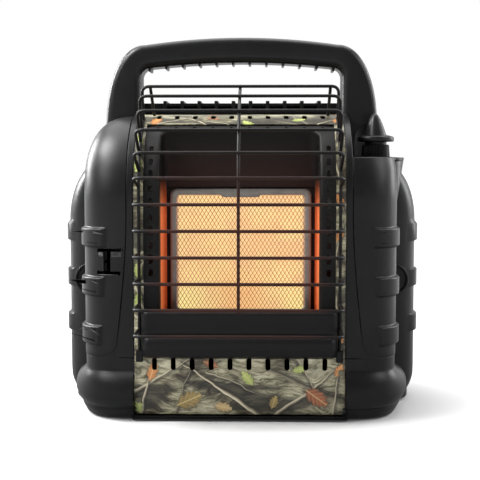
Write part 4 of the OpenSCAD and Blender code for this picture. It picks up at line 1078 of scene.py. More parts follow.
def eased(steps: Sequence[Point], at: float) -> list[float]:
    """Smooth curve through rows of numbers, looked up by the first of each row.

    Args:
        steps: Rows whose first number rises.
        at: Where to look.

    Returns:
        The other numbers there.
    """
    at = min(max(at, steps[0][0]), steps[-1][0])
    k = max(i for i in range(len(steps) - 1) if steps[i][0] <= at)
    rows = [steps[max(k - 1, 0)], steps[k], steps[k + 1], steps[min(k + 2, len(steps) - 1)]]
    span = rows[2][0] - rows[1][0]
    t = (at - rows[1][0]) / span
    h = (2 * t ** 3 - 3 * t * t + 1, t ** 3 - 2 * t * t + t, 3 * t * t - 2 * t ** 3, t ** 3 - t * t)
    out = []
    for i in range(1, len(rows[1])):
        rates = [(b[i] - a[i]) / max(b[0] - a[0], 1e-9) for a, b in zip(rows, rows[1:])]
        slopes = [0.0 if a * b <= 0 else 2 * a * b / (a + b) for a, b in zip(rates, rates[1:])]
        out.append(h[0] * rows[1][i] + h[1] * span * slopes[0]
                   + h[2] * rows[2][i] + h[3] * span * slopes[1])
    return out


def rectangle(t: float, half: float, low: float, high: float, r: float) -> Pair:
    """Point of an upright rectangle with round corners.

    Args:
        t: Share of the way round, from the middle of the right side.
        half: Half its width.
        low: Its lowest height.
        high: Its highest height.
        r: Radius of its corners.

    Returns:
        The X and Z.
    """
    k = t * 4 % 4
    corner, share = int(k), k - int(k)
    corners = ((half, high), (-half, high), (-half, low), (half, low))
    here, beside = corners[corner], corners[(corner + (1 if share > 0.5 else -1)) % 4]
    angle = (corner + clamp((share - 0.4) / 0.2)) * math.pi / 2
    upper = here[1] > (low + high) / 2
    tip = (here[0] - math.copysign(r, here[0]) + r * math.cos(angle),
           here[1] - (r if upper else -r) + r * math.sin(angle))
    straight = max(0.0, (abs(share - 0.5) - 0.1) / 0.4)
    return tuple(p + ((a + b) / 2 - p) * straight for p, a, b in zip(tip, here, beside))


def centre_of(node: str) -> Pair:
    """X and Y of the middle of a solid."""
    low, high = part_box(node)
    return (low.x + high.x) / 2, (low.y + high.y) / 2


@dataclass
class Workshop:
    """Makes finished pieces and puts them on their bodies."""

    frame: dict
    edge_angle: float = 40.0
    materials: dict[str, Material] = field(default_factory=dict)
    dressed: set[str] = field(default_factory=set)

    def coat(self, mesh: bpy.types.Mesh, finish: object) -> None:
        """Puts a finish on a mesh, building its material at its first use.

        Args:
            mesh: The mesh.
            finish: The finish.
        """
        if finish.name not in self.materials:
            self.materials[finish.name] = finish.build()
        mesh.materials.clear()
        mesh.materials.append(self.materials[finish.name])

    def piece(self, name: str, bm: Form, finish: object, body: str = BODY,
              replaces: Sequence[str] = (), thickness: float = 0.0, edge: float = 0.0,
              sharp: float = 35.0, segments: int = 2) -> bpy.types.Object:
        """Turns a mesh into a finished piece.

        Args:
            name: Name of the piece.
            bm: Its mesh; it is freed.
            finish: Its finish.
            body: The moving body it rides on.
            replaces: Solids that it stands for.
            thickness: Wall that is given to an open sheet, away from its face.
            edge: Radius of its edges.
            sharp: Angle above which an edge stays crisp, in degrees.
            segments: Steps of the edge's rounding.

        Returns:
            The piece.
        """
        mesh = mesh_of(name, bm)
        obj = placed(name, mesh)
        self.coat(mesh, finish)
        mesh.shade_smooth()
        mesh.set_sharp_from_angle(angle=math.radians(sharp))
        if thickness:
            wall = obj.modifiers.new("wall", "SOLIDIFY")
            wall.thickness, wall.offset, wall.use_even_offset = thickness, -1.0, False
        if edge:
            bevel = obj.modifiers.new("edge", "BEVEL")
            bevel.width, bevel.segments, bevel.limit_method = edge, segments, "ANGLE"
            bevel.angle_limit = math.radians(self.edge_angle)
            bevel.use_clamp_overlap, bevel.harden_normals = False, True
        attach(obj, body)
        if replaces:
            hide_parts(*replaces)
            self.dressed.update(replaces)
        log.info("%s: %d faces, rides on %s", name, len(mesh.polygons), body)
        return obj

    def copy_of(self, node: str) -> Form:
        """Merged copy of a solid's mesh, with its flat faces whole again.

        Args:
            node: Name of the solid.

        Returns:
            The mesh.
        """
        bm = bmesh.new()
        bm.from_mesh(self.frame["nodes"][node].data)
        welded(bm, 2 * WELD)
        bmesh.ops.dissolve_limit(bm, angle_limit=math.radians(0.6), verts=bm.verts, edges=bm.edges)
        return bm

    def dress(self, node: str, finish: object, edge: float = 0.0, sharp: float = 32.0) -> None:
        """Gives a solid its finish, on a copy with rounded edges where an edge is wanted.

        Args:
            node: Name of the solid.
            finish: Its finish.
            edge: Radius of its edges.
            sharp: Angle above which an edge stays crisp, in degrees.
        """
        bodies = self.frame["record"]["behaviour"]["bodies"]
        body = next(name for name, nodes in bodies.items() if node in nodes)
        if edge:
            self.piece(node + "_skin", self.copy_of(node), finish, body, (node,), edge=edge,
                       sharp=sharp)
            return
        self.coat(self.frame["nodes"][node].data, finish)
        self.dressed.add(node)
        log.info("%s: dressed as %s", node, finish.name)

    def dress_all(self, *rows: tuple[str, object, float]) -> None:
        """Dresses several solids, each by its name, finish and edge."""
        for node, finish, edge in rows:
            self.dress(node, finish, edge)


# ------------------------------------------------------------------ the body's outlines


@dataclass(frozen=True)
class BodyPlan:
    """Sizes and outlines that the moulded pieces share."""

    front_w: float = 0.315
    rear_w: float = 0.375
    seam_x: float = 0.111
    seam_spread: float = 0.012
    front_y: float = 0.085
    back_y: float = 0.135
    arc_z: float = 0.220
    part_y: float = -0.009
    lobe_top: float = 0.262
    base_h: float = 0.062
    base_flare: float = 0.020
    wall: float = 0.003
    bumper_h: float = 0.020
    bumper_pitch: float = 0.0485
    bumper_z: float = 0.084
    bumper_proud: float = 0.003
    panel_w: float = 0.208
    gap: float = 0.0003
    pan_z: float = 0.012
    ledge_z: float = 0.260
    cover_round: float = 2.3
    valley: float = 0.78
    cap_x: float = 0.136
    cap_back: float = 0.080
    corner_x: float = 0.130
    tuck_z: float = 0.030
    foot_show: float = 0.0015
    cover_shoulder: Pair = (0.225, 2.6)
    side_shoulder: Pair = (0.190, 2.2)
    back_shoulder: Pair = (0.232, 2.2)
    leg_in: float = 0.105
    leg_foot: float = 0.250
    scoop_r: float = 0.029
    scoop_z: float = 0.278
    screw_x: float = 0.12175
    screw_z: Pair = (0.272, 0.310)
    slot_pitch: float = 0.0187

    @property
    def deck_z(self) -> float:
        """Height of the deck."""
        return self.arc_z + self.front_y

    @property
    def hump_z(self) -> float:
        """Height of the heat outlet."""
        return self.deck_z + 0.014

    @property
    def cover_z(self) -> float:
        """Top of the side covers."""
        return self.deck_z - 0.003

    @property
    def cover_r(self) -> float:
        """Radius of the side covers' front."""
        return self.front_y + 0.0015

    @property
    def grip_z(self) -> float:
        """Top of the handle."""
        return self.deck_z + 0.080

    def bumpers(self) -> list[float]:
        """Heights of the bumpers' middles."""
        return [self.bumper_z + i * self.bumper_pitch for i in range(3)]

    def face_y(self, z: float, r: float) -> float:
        """Depth of a front face of radius r at a height."""
        return -math.sqrt(max(0.0, r * r - max(0.0, z - self.arc_z) ** 2))

    def on_bend(self, x: float, s: float, r: float, depth: float) -> Vector:
        """Point of a sheet that runs up the front, round the bend and onto the deck.

        Args:
            x: Its place across.
            s: Its length up the sheet.
            r: Radius of the sheet's face.
            depth: How far it lies behind the face.

        Returns:
            The point.
        """
        a, r = max(0.0, s - self.arc_z) / r, r - depth
        if s <= self.arc_z:
            return Vector((x, -r, s))
        if a <= math.pi / 2:
            return Vector((x, -r * math.cos(a), self.arc_z + r * math.sin(a)))
        return Vector((x, (a - math.pi / 2) * (r + depth), self.arc_z + r))

    def seam(self, z: float) -> float:
        """Half distance between the two seams at a height."""
        drop = (0.200 - z) / (0.200 - self.base_h)
        return self.seam_x + self.seam_spread * clamp(drop) ** 1.5

    def cover_point(self, t: float, z: float, d: float = 0.0) -> Pair:
        """Point of a side cover's outline.

        Args:
            t: 0 at the seam, 1 at the valley.
            z: Height.
            d: How far the face is moved in.

        Returns:
            The X and Y of the right cover.
        """
        s = self.seam(z)
        start, power = self.cover_shoulder
        full = shoulder(z, start, self.cover_z - d + 0.0002, power)
        reach = (self.front_w / 2 - d - s) * max(0.1, full)
        yf = self.face_y(z, self.cover_r - d)
        yc = (yf + self.part_y) / 2
        if t < 0.7:
            u = math.pi / 2 * (1 - t / 0.7)
            p = 2 / self.cover_round
            return s + reach * max(0.0, math.cos(u)) ** p, yc - (yc - yf) * math.sin(u) ** p
        v = (t - 0.7) / 0.3
        return s + reach * (1 - (1 - self.valley) * v * v), yc + (self.part_y - yc) * v

    def bumper_rise(self, z: float, ramp: float) -> float:
        """How far the bumpers stand out at a height, for a ramp of 0 to 1 along the outline."""
        half = self.bumper_h / 2
        near = min(abs(z - m) for m in self.bumpers())
        return self.bumper_proud * clamp((half - near) / 0.0016) * ramp

    def rear_cap(self, z: float) -> float:
        """Half width of the raised middle of the rear shell."""
        rise = max(0.0, (z - self.lobe_top) / (self.hump_z - self.lobe_top))
        return self.cap_x * (1 - 0.18 * rise ** 3)

    def rear_point(self, t: float, z: float, d: float = 0.0) -> Pair:
        """Point of the rear shell's outline.

        Args:
            t: 0 at the parting plane, 1 at the middle of the back.
            z: Height.
            d: How far the face is moved in.

        Returns:
            The X and Y on the right side.
        """
        tuck = max(0.0, (self.tuck_z - max(z, self.pan_z)) / (self.tuck_z - self.pan_z))
        cap = self.rear_cap(z) - d
        start, power = self.side_shoulder
        wide = shoulder(z, start, self.lobe_top, power)
        x1 = cap + (self.rear_w / 2 - d - cap) * wide - 0.006 * tuck * tuck
        start, power = self.back_shoulder
        deep = (self.back_y - self.cap_back) * shoulder(z, start, self.hump_z - d + 0.0005, power)
        yb = self.cap_back - d + deep - 0.005 * tuck * tuck
        x0 = max(self.cover_point(1.0, z)[0], self.rear_cap(z) - 0.002) - d
        y1 = min(0.034, yb - 0.040)
        cx = min(self.corner_x, x1 - 0.004) - d
        if t < 0.3:
            return bezier(((x0, self.part_y), (x0 + (x1 - x0) * 0.7, self.part_y + 0.001),
                           (x1, self.part_y + 0.014), (x1, y1)), t / 0.3)
        if t < 0.65:
            return bezier(((x1, y1), (x1, y1 + (yb - y1) * 0.5), (cx + (x1 - cx) * 0.8, yb - 0.010),
                           (cx, yb - 0.002)), (t - 0.3) / 0.35)
        share = (1 - t) / 0.35
        return cx * share, yb - 0.002 * share * share

    def base_point(self, t: float, w: float, d: float) -> Pair:
        """Point of the flared base's outline, 0 beside the panel and 1 at the parting plane.

        Args:
            t: Share along the outline.
            w: Share of the flare.
            d: How far the face is moved in.

        Returns:
            The X and Y on the right side.
        """
        front = -self.front_y - 0.011
        curve = ((self.panel_w / 2 + self.gap, front), (0.155, front), (0.168, -0.071),
                 (self.rear_w / 2 - 0.0125, self.part_y))
        p = bezier(curve, t)
        a, b = bezier(curve, min(1.0, t + 0.01)), bezier(curve, max(0.0, t - 0.01))
        n = Vector((a[1] - b[1], -(a[0] - b[0]))).normalized()
        low = (p[0] - n.x * d, min(p[1] - n.y * d, self.part_y - (1 - t) * 0.0088))
        top = self.cover_point(t, self.base_h, d + 0.0006)
        share = w * self.base_flare / 0.020
        return low[0] * share + top[0] * (1 - share), low[1] * share + top[1] * (1 - share)


PLAN = BodyPlan()


def heights(low: float, high: float, step: float, marks: Point = ()) -> list[float]:
    """Heights from low to high about a step apart, with extra ones at the marks.

    Args:
        low: First height.
        high: Last height.
        step: Largest distance.
        marks: Heights that get a row of their own.

    Returns:
        The heights, from the lowest.
    """
    count = max(1, math.ceil((high - low) / step))
    even = [low + (high - low) * i / count for i in range(count + 1)]
    keep = [m for m in marks if low < m < high]
    even = [z for z in even if all(abs(z - m) > step * 0.3 for m in keep) or z in (low, high)]
    return sorted(even + keep)


def ribbed_marks(plan: BodyPlan) -> list[float]:
    """Heights at which the bumpers' edges need their own rows."""
    half, edges = plan.bumper_h / 2, (-0.0012, 0.0, 0.0008, 0.0016, 0.003)
    return [m + s * (half - e) for m in plan.bumpers() for s in (-1, 1) for e in edges]


def knob_scoop(plan: BodyPlan, low: float) -> Form:
    """Round pocket for the knob, from a height up to its domed top."""
    cx, cy = centre_of("control_knob")
    well = bolt((cx, cy, low), plan.scoop_r, plan.scoop_z - low, sides=64)
    return add(well, ball((cx, cy, plan.scoop_z), plan.scoop_r, 64, 32))


def screw_holes(plan: BodyPlan, sides: Sequence[int], y: float, radius: float,
                length: float) -> list[Form]:
    """Holes for the handle's screws, running back from a depth."""
    return [bolt((side * plan.screw_x, y, z), radius, length, (0, 1, 0), 24)
            for side in sides for z in plan.screw_z]


# ------------------------------------------------------------------ sub-assemblies


@dataclass
class Assembly:
    """What every sub-assembly holds."""

    shop: Workshop
    plan: BodyPlan = PLAN


@dataclass
class FrontCovers(Assembly):
    """The two bulging side covers in front of the parting plane."""

    foot_round: float = 0.013
    window: tuple[float, float, float, float] = (-0.140, -0.116, 0.145, 0.170)
    window_gap: float = 0.0026
    funnel_r: float = 0.0287

    def surface(self, left: bool, top: float) -> Form:
        """One cover with its wall.

        Args:
            left: Whether it is the left one.
            top: Height at which it ends.

        Returns:
            The mesh.
        """
        plan = self.plan
        low = plan.base_h + plan.gap
        crown = min(top, plan.cover_z)
        start, power = plan.cover_shoulder
        steps = [math.sin(math.radians(a)) ** (2 / power) for a in range(12, 90, 6)]
        upper = [start + (plan.cover_z - start) * s for s in steps]
        rows = heights(low, min(start, crown), 0.006, ribbed_marks(plan))
        rows = [(z, 1.0) for z in rows + [z for z in upper if z < crown - 1e-4] + [crown]]
        if top >= plan.cover_z:
            rows += [(crown, share) for share in (0.75, 0.5, 0.25, 0.0)]

        def place(u: float, row: Pair) -> Vector:
            """Point on the cover, which closes in to its corner at the top.

            Args:
                u: Share of the way round.
                row: Height, and the share that is left when the top closes.

            Returns:
                The point.
            """
            z, share = row
            foot = max(0.0, 1 - (z - low) / self.foot_round)
            pull = self.foot_round * (1 - math.sqrt(max(0.0, 1 - foot * foot)))
            skip = min(0.5, pull / 0.046 * 0.62)
            t = skip + (1 - skip) * u
            rise = plan.bumper_rise(z, clamp((t - 0.175) / 0.02))
            x, y = plan.cover_point(t, z, -rise)
            if share < 1:
                x, y = Vector((plan.seam(z), plan.part_y)).lerp(Vector((x, y)), share)
            return Vector((x, y, z))

        bm = mirrored(welded(draped(48, rows, place)), left)
        bmesh.ops.solidify(bm, geom=bm.faces[:], thickness=plan.wall)
        return bm

    def make(self) -> None:
        """Builds both covers, the knob's ledge and the left catch."""
        plan = self.plan
        x0, x1, z0, z1 = self.window
        cut = self.window_gap
        slits = gathered([
            block((x0, -0.12, z1 - cut), (x1, -0.05, z1)),
            block((x0, -0.121, z0), (x1 - 0.002, -0.049, z0 + cut)),
            block((x0 + 0.0065, -0.122, z0 + 0.001), (x0 + 0.0130, -0.048, z1 - 0.001))])
        left = combined(self.surface(True, plan.cover_z), slits, Cut.TAKE, True)
        for name, bm in (("left", left), ("right", self.surface(False, plan.ledge_z))):
            self.shop.piece(f"{name}_cover", bm, PLASTIC, replaces=(f"{name}_front_cover",),
                            edge=0.0009, segments=3)
        self.ledge()
        self.shop.dress("cover_catch", GUARD_PAINT, 0.0003)

    def ledge(self) -> None:
        """Flat ledge under the knob and the funnel that carries it."""
        plan, z, radius = self.plan, self.plan.ledge_z, self.funnel_r
        under = z - plan.wall
        cx, cy = centre_of("knob_collar")
        edge = [plan.cover_point(i / 24, z) for i in range(25)] + [(plan.seam(z), plan.part_y)]
        plate = prism([(x, y, under) for x, y in edge], (0, 0, plan.wall - 0.0002))

        def room(top: float) -> Form:
            """Space between the seam and the parting plane, up to a height."""
            return block((plan.seam_x + plan.gap, -0.13, 0.1), (0.3, plan.part_y, top))

        disc = bolt((cx, cy, under), radius, plan.wall, sides=64)
        plate = combined(plate, combined(disc, room(z + 0.01), Cut.KEEP), Cut.JOIN)
        plate = combined(plate, bolt((cx, cy, z - 0.01), 0.0120, 0.02, sides=48), Cut.TAKE)
        self.shop.piece("knob_ledge", plate, PLASTIC, edge=0.0006)
        funnel = bmesh.new()
        bmesh.ops.create_circle(funnel, cap_ends=False, segments=48, radius=radius)
        moved(funnel, (cx, cy, z - 0.0004))
        tip = ball((cx + 0.018, cy + 0.003, z - 0.050), 0.004, 24, 14)
        bmesh.ops.delete(tip, geom=tip.faces[:], context="FACES_ONLY")
        add(funnel, tip)
        bmesh.ops.convex_hull(funnel, input=funnel.verts[:])
        loose = [e for e in funnel.edges if not e.link_faces]
        bmesh.ops.delete(funnel, geom=loose, context="EDGES")
        loose = [v for v in funnel.verts if not v.link_faces]
        bmesh.ops.delete(funnel, geom=loose, context="VERTS")
        bmesh.ops.recalc_face_normals(funnel, faces=funnel.faces)
        funnel = combined(funnel, room(z), Cut.KEEP)
        hidden = [f for f in funnel.faces
                  if f.normal.z > 0.9 or f.normal.y > 0.95 or f.normal.x < -0.95]
        bmesh.ops.delete(funnel, geom=hidden, context="FACES")
        self.shop.piece("ledge_funnel", funnel, PLASTIC, thickness=0.002)


@dataclass
class RearShell(Assembly):
    """The deep rear half with the fuel bay, the louvres and the heat outlet."""

    deck_back: float = 0.035
    roll: float = 0.005
    bay_x: Pair = (-0.164, -0.048)
    bay_front: float = 0.023
    bay_top: float = 0.256
    lug: Triple = (0.1595, 0.132, 0.0176)
    louvres: int = 8
    louvre_pitch: float = 0.014

    def form(self, d: float, front: float, low: float, bumpers: bool) -> Form:
        """Closed form of the rear shell.

        Args:
            d: How far its face is moved in.
            front: How far it runs past the parting plane.
            low: Its lowest height.
            bumpers: Whether the bumpers stand on it.

        Returns:
            The closed mesh.
        """
        plan, roll = self.plan, self.roll
        high = plan.hump_z - d
        marks = ribbed_marks(plan) if bumpers else []
        rows = heights(low, plan.side_shoulder[0], 0.008, marks + [0.016, 0.021, 0.026])
        rows += heights(0.193, high - roll, 0.0045)
        rows += [high - roll + roll * math.sin(math.radians(a)) for a in (20, 40, 60, 78, 90)]
        half = 44
        round_it = ([(1, 0.0, front)] + [(1, i / half, 0.0) for i in range(half + 1)]
                    + [(-1, i / half, 0.0) for i in range(half - 1, 0, -1)]
                    + [(-1, 0.0, front), (1, 0.0, front)])

        def place(station: Triple, z: float) -> Vector:
            """Point on the shell, whose top edge is rolled in.

            Args:
                station: Side, share of the way back, and reach to the front.
                z: Height.

            Returns:
                The point.
            """
            side, t, forward = station
            up = max(0.0, (z - high) / roll + 1)
            inset = d + roll * (1 - math.sqrt(max(0.0, 1 - up ** 2)))
            ramp = clamp((t - 0.15) / 0.02) * clamp((0.5 - t) / 0.02) * bumpers
            x, y = plan.rear_point(t, z, inset - plan.bumper_rise(z, ramp))
            return Vector((side * x, y - forward, z))

        return sealed(draped(round_it, rows, place))

    def make(self) -> None:
        """Builds the shell from its form and its openings."""
        plan, back, foot, y0 = self.plan, self.deck_back, self.plan.leg_foot, self.plan.part_y
        leg, wall = plan.leg_in - 0.0003, plan.wall
        shell = combined(self.form(0, 0, plan.pan_z, True),
                         self.form(wall, 0.005, plan.pan_z - 0.005, False), Cut.TAKE)
        rooms = gathered([
            block((-plan.leg_in, y0 - 0.001, 0.240), (plan.leg_in, back - wall, 0.325)),
            block((-OUT, y0 - 0.0012, plan.deck_z + 0.001), (OUT, back - 0.0028, 0.326))])
        shell = combined(shell, rooms, Cut.TAKE, True)
        low, high = (foot - 0.0033, foot - 0.0003)
        walls = gathered([
            block((self.bay_x[0] - wall, self.bay_front - wall, plan.pan_z + 0.0001),
                  (self.bay_x[1] + wall, OUT, self.bay_top + wall)),
            block((-OUT, back - wall, plan.deck_z - 0.008), (OUT, back, plan.hump_z - 0.0005)),
            block((leg, y0, low), (OUT, 0.0306, high)),
            block((-OUT, y0, low), (-leg, 0.0306, high))])
        walls = combined(walls, self.form(0.0006, 0, plan.pan_z, False), Cut.KEEP, True)
        shell = combined(shell, walls, Cut.JOIN, True)
        shell = combined(shell, self.openings(), Cut.TAKE, True)
        bmesh.ops.dissolve_limit(shell, angle_limit=math.radians(0.3), verts=shell.verts,
                                 edges=shell.edges)
        self.shop.piece("rear_body", shell, PLASTIC, replaces=("rear_shell",), sharp=28)

    def openings(self) -> Form:
        """Everything that is cut from the shell, as one mesh.

        Returns:
            The mesh.
        """
        plan, back, y0 = self.plan, self.deck_back, self.plan.part_y - 0.001
        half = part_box("top_grille")[1].x - 0.003
        leg = plan.leg_in - 0.0003
        lug_x, lug_z, lug_r = self.lug
        cutters = [block((self.bay_x[0], self.bay_front, plan.pan_z + 0.003),
                         (self.bay_x[1], OUT, self.bay_top)),
                   block((-half, back - 0.004, plan.deck_z + 0.006),
                         (half, back + 0.001, plan.hump_z - 0.0025))]
        for side in (-1, 1):
            x0, x1 = sorted((side * leg, side * OUT))
            cutters.append(block((x0, y0, plan.leg_foot - 0.0003), (x1, 0.0276, 0.33)))
            cutters.append(bolt((side * lug_x, y0, lug_z), lug_r, 0.0085, (0, 1, 0), 48))
            cutters += screw_holes(plan, (side,), 0.0223, 0.0046, 0.1)
        for row in range(self.louvres):
            z = 0.070 + row * self.louvre_pitch
            cutters += [block((x - 0.030, 0.100, z), (x + 0.030, 0.160, z + 0.005), 0.0022, 3)
                        for x in (0.010, 0.090)]
        return gathered(cutters + [knob_scoop(plan, plan.leg_foot - 0.005)])


@dataclass
class FlaredBase(Assembly):
    """Flared base at the front sides, the lip under the panel, the feet and the floor pan."""

    turn_in: float = 0.0055
    wall_z: float = 0.030

    def steps(self) -> list[Triple]:
        """Height, share of the flare and inset, from the floor up.

        Returns:
            The rows.
        """
        rows = ((0, 1, 11), (2, 1, 9.5), (5, 1, 8), (8.5, 1, 6.5), (10.5, 1, 7), (12.5, 1, 5),
                (15, 1, 3), (18, 1, 1.5), (21, 1, 0.5), (24, 1, 0), (27, 0.985, 0),
                (30.5, 0.95, 0), (34, 0.885, 0), (37.5, 0.78, 0), (40.5, 0.65, 0), (43, 0.5, 0),
                (45, 0.35, 0), (46.7, 0.2, 0), (48, 0.09, 0), (49.3, 0, 0))
        show, top = self.plan.foot_show, self.plan.base_h
        out = [(z * MM + show * (1 - z * MM / top), w, d * MM) for z, w, d in rows]
        return out + [(top, 0.0, 0.0)]

    def rows(self) -> list[float]:
        """Heights of the flare's rows."""
        steps = self.steps()
        return heights(steps[0][0], steps[-1][0], 0.0014, [step[0] for step in steps])

    def skirt(self) -> Form:
        """Flared sheet of the right side, its face outwards.

        Returns:
            The open mesh.
        """
        steps, rows = self.steps(), [(z, 0.0) for z in self.rows()]
        rows.insert(0, (rows[0][0], self.turn_in))

        def place(u: float, row: Pair) -> Vector:
            """Point on the flare, which turns in under the body at its foot."""
            z, turn_in = row
            w, d = eased(steps, z)
            x, y = self.plan.base_point(u, w, d + turn_in)
            return Vector((x, y, z))

        return draped(56, rows, place)

    def cheek(self) -> Form:
        """Flat end of the flare beside the panel, following the flare's own profile.

        Returns:
            The open mesh.
        """
        plan, steps = self.plan, self.steps()
        inner = plan.panel_w / 2 + plan.gap

        def place(u: float, z: float) -> Vector:
            """Point on the end."""
            x, y = plan.base_point(0.0, *eased(steps, z))
            if u < 0.5:
                return Vector((inner, y + 0.016 * (1 - 2 * u), z))
            return Vector((inner + (x - inner) * (2 * u - 1), y, z))

        return draped(4, self.rows(), place)

    def apron(self) -> Form:
        """Wall that rises from the base behind the rounded lower corner of the right cover.

        Returns:
            The open mesh.
        """
        plan = self.plan

        def place(u: float, v: float) -> Vector:
            """Point on the wall."""
            z = plan.base_h - 0.004 + 0.032 * v
            x, y = plan.cover_point(max(0.0, u - 0.1) * 0.7, z, 0.0007)
            return Vector((x - 0.005 * max(0.0, 1 - 10 * u), y, z))

        return draped(30, 8, place)

    def tray(self) -> Form:
        """Lip, floor pan and bosses of the base, its own walls folded in behind the flared ones.

        Returns:
            The mesh.
        """
        plan = self.plan
        bm = self.shop.copy_of("base_tray")
        front = -plan.front_y - 0.011
        outline = ((plan.panel_w / 2 + plan.gap, front), (0.140, front), (0.150, -0.055),
                   (plan.rear_w / 2 - 0.0125, plan.part_y))
        curve = [Vector(bezier(outline, i / 80)) for i in range(81)]
        middle = Vector((0.085, plan.part_y))
        for vert in bm.verts:
            at = Vector((abs(vert.co.x), vert.co.y))
            if (at.x < plan.panel_w / 2 + 0.001 or at.y > plan.part_y + 0.001
                    or vert.co.z > plan.base_h + 0.001):
                continue
            near = min(curve, key=lambda point: (point - at).length)
            if vert.co.z > self.wall_z or (near - at).length < 0.0075:
                at = near + (middle - near).normalized() * 0.013
                vert.co = (math.copysign(at.x, vert.co.x), at.y, min(vert.co.z, plan.pan_z))
        return welded(bm, 0.0001)

    def make(self) -> None:
        """Builds the base and its feet."""
        plan = self.plan
        for left, name in ((False, "right"), (True, "left")):
            bm = welded(mirrored(gathered([self.skirt(), self.cheek()]), left), 0.00002)
            self.shop.piece(f"base_flare_{name}", bm, PLASTIC, thickness=plan.wall, edge=0.0005,
                            sharp=40)
            self.shop.piece(f"base_apron_{name}", mirrored(self.apron(), left), PLASTIC,
                            thickness=0.0018)
        lip_y, half = plan.front_y + 0.007, plan.panel_w / 2 + 0.002
        lip_top = 0.0057
        lip = gathered([block((-half, -lip_y, plan.foot_show + 0.0005),
                              (half, -lip_y + plan.wall, lip_top)),
                        block((-half, -lip_y, 0.0032), (half, -plan.front_y + 0.005, lip_top))])
        self.shop.piece("front_lip", lip, PLASTIC, edge=0.0006)
        self.shop.piece("base_floor", self.tray(), PLASTIC, replaces=("base_tray",), sharp=32)
        self.shop.dress_all(("rubber_feet", RUBBER, 0.0006), ("base_screws", ZINC, 0))


@dataclass
class CarryHandle(Assembly):
    """Arched handle in two halves, ribbed under the grip."""

    leg_out: float = 0.1425
    grip_t: float = 0.026
    crown: float = 0.008
    arch_round: float = 0.042
    arch_bend: float = 2.15
    depth: Pair = (-0.0087, 0.0273)
    edge: float = 0.0075
    ribs: int = 12
    rib_pitch: float = 0.0175
    inner_r: float = 0.010
    arch_step: float = 3.75

    def crown_z(self, x: float, top: float) -> float:
        """Height of a line of the grip, crowned over its width."""
        return top - self.crown * (x / (self.leg_out - 0.038)) ** 2

    def path(self) -> list[tuple[Vector, Vector]]:
        """Outer and inner points of the arch from the right foot to the left one, in X and Z.

        Returns:
            Pairs of points.
        """
        leg_in, leg_foot, r = self.plan.leg_in, self.plan.leg_foot, self.inner_r
        top = self.plan.grip_z
        under = top - self.grip_t
        arch, foot = self.leg_out - self.arch_round, self.plan.deck_z - 0.015
        rise = self.crown_z(arch, top) - foot
        inner = self.crown_z(leg_in - 2 * r, under) - r
        slope = (inner - 0.048 - leg_foot) / (foot - leg_foot)
        half = [(Vector((self.leg_out, z)), Vector((leg_in, leg_foot + (z - leg_foot) * slope)))
                for z in heights(leg_foot, foot, 0.01)[:-1]]
        power = 2 / self.arch_bend
        for i in range(25):
            a = math.radians(i * self.arch_step)
            b = max(0.0, a * 1.5 - math.pi / 4)
            short = max(0.0, 30 - i * self.arch_step) * 0.0016
            half.append((Vector((arch + self.arch_round * abs(math.cos(a)) ** power,
                                 foot + rise * math.sin(a) ** power)),
                         Vector((leg_in - r + r * math.cos(b), inner + r * math.sin(b) - short))))
        for i in range(9, -1, -1):
            f = i / 10
            half.append((Vector((arch * f, self.crown_z(arch * f, top))),
                         Vector(((leg_in - r) * f, self.crown_z((leg_in - 2 * r) * f, under)))))
        other = [(Vector((-a.x, a.y)), Vector((-b.x, b.y))) for a, b in reversed(half[:-1])]
        return half + other

    def half(self, face: float, mid: float) -> Form:
        """One half of the arch, from the parting plane to its rounded face.

        Args:
            face: Depth of the half's face.
            mid: Depth of the parting plane.

        Returns:
            The closed mesh.
        """
        r = self.edge
        way = -1 if face < mid else 1
        section = [(0, mid + way * 0.0002, 0.0004), (0, mid + way * 0.0007, 0.0)]
        for k in range(9):
            a = math.radians(90 * k / 8)
            section.append((0, face - way * (r - r * math.sin(a)), r - r * math.cos(a)))
        section += [(1, y, inset) for _, y, inset in reversed(section)] + section[:1]

        def place(at: Triple, edges: tuple[Vector, Vector]) -> Vector:
            """Point on the half."""
            side, y, inset = at
            here, across = edges[side], edges[1 - side]
            x, z = here + (across - here).normalized() * inset
            return Vector((x, y, z))

        return sealed(draped(section, self.path(), place))

    def make(self) -> None:
        """Builds both halves with their ribs."""
        plan, (front, rear) = self.plan, self.depth
        cuts = {front: knob_scoop(plan, plan.leg_foot - 0.01),
                rear: gathered(screw_holes(plan, (-1, 1), rear - 0.012, 0.0045, 0.03))}
        for name, face in (("front", front), ("rear", rear)):
            arch = self.half(face, (front + rear) / 2)
            arch = combined(arch, cuts[face], Cut.TAKE, face == front)
            self.shop.piece(f"grip_{name}", arch, PLASTIC, replaces=(f"handle_{name}",), sharp=30)
        ribs = []
        for i in range(self.ribs):
            x = (i - (self.ribs - 1) / 2) * self.rib_pitch
            z = self.crown_z(x, plan.grip_z - self.grip_t)
            ribs.append(block((x - 0.0014, front + 0.005, z - 0.0021),
                              (x + 0.0014, rear - 0.005, z + 0.003), 0.0011, 3))
        self.shop.piece("grip_ribs", gathered(ribs), PLASTIC, sharp=30)
        self.shop.dress("handle_screws", ZINC)


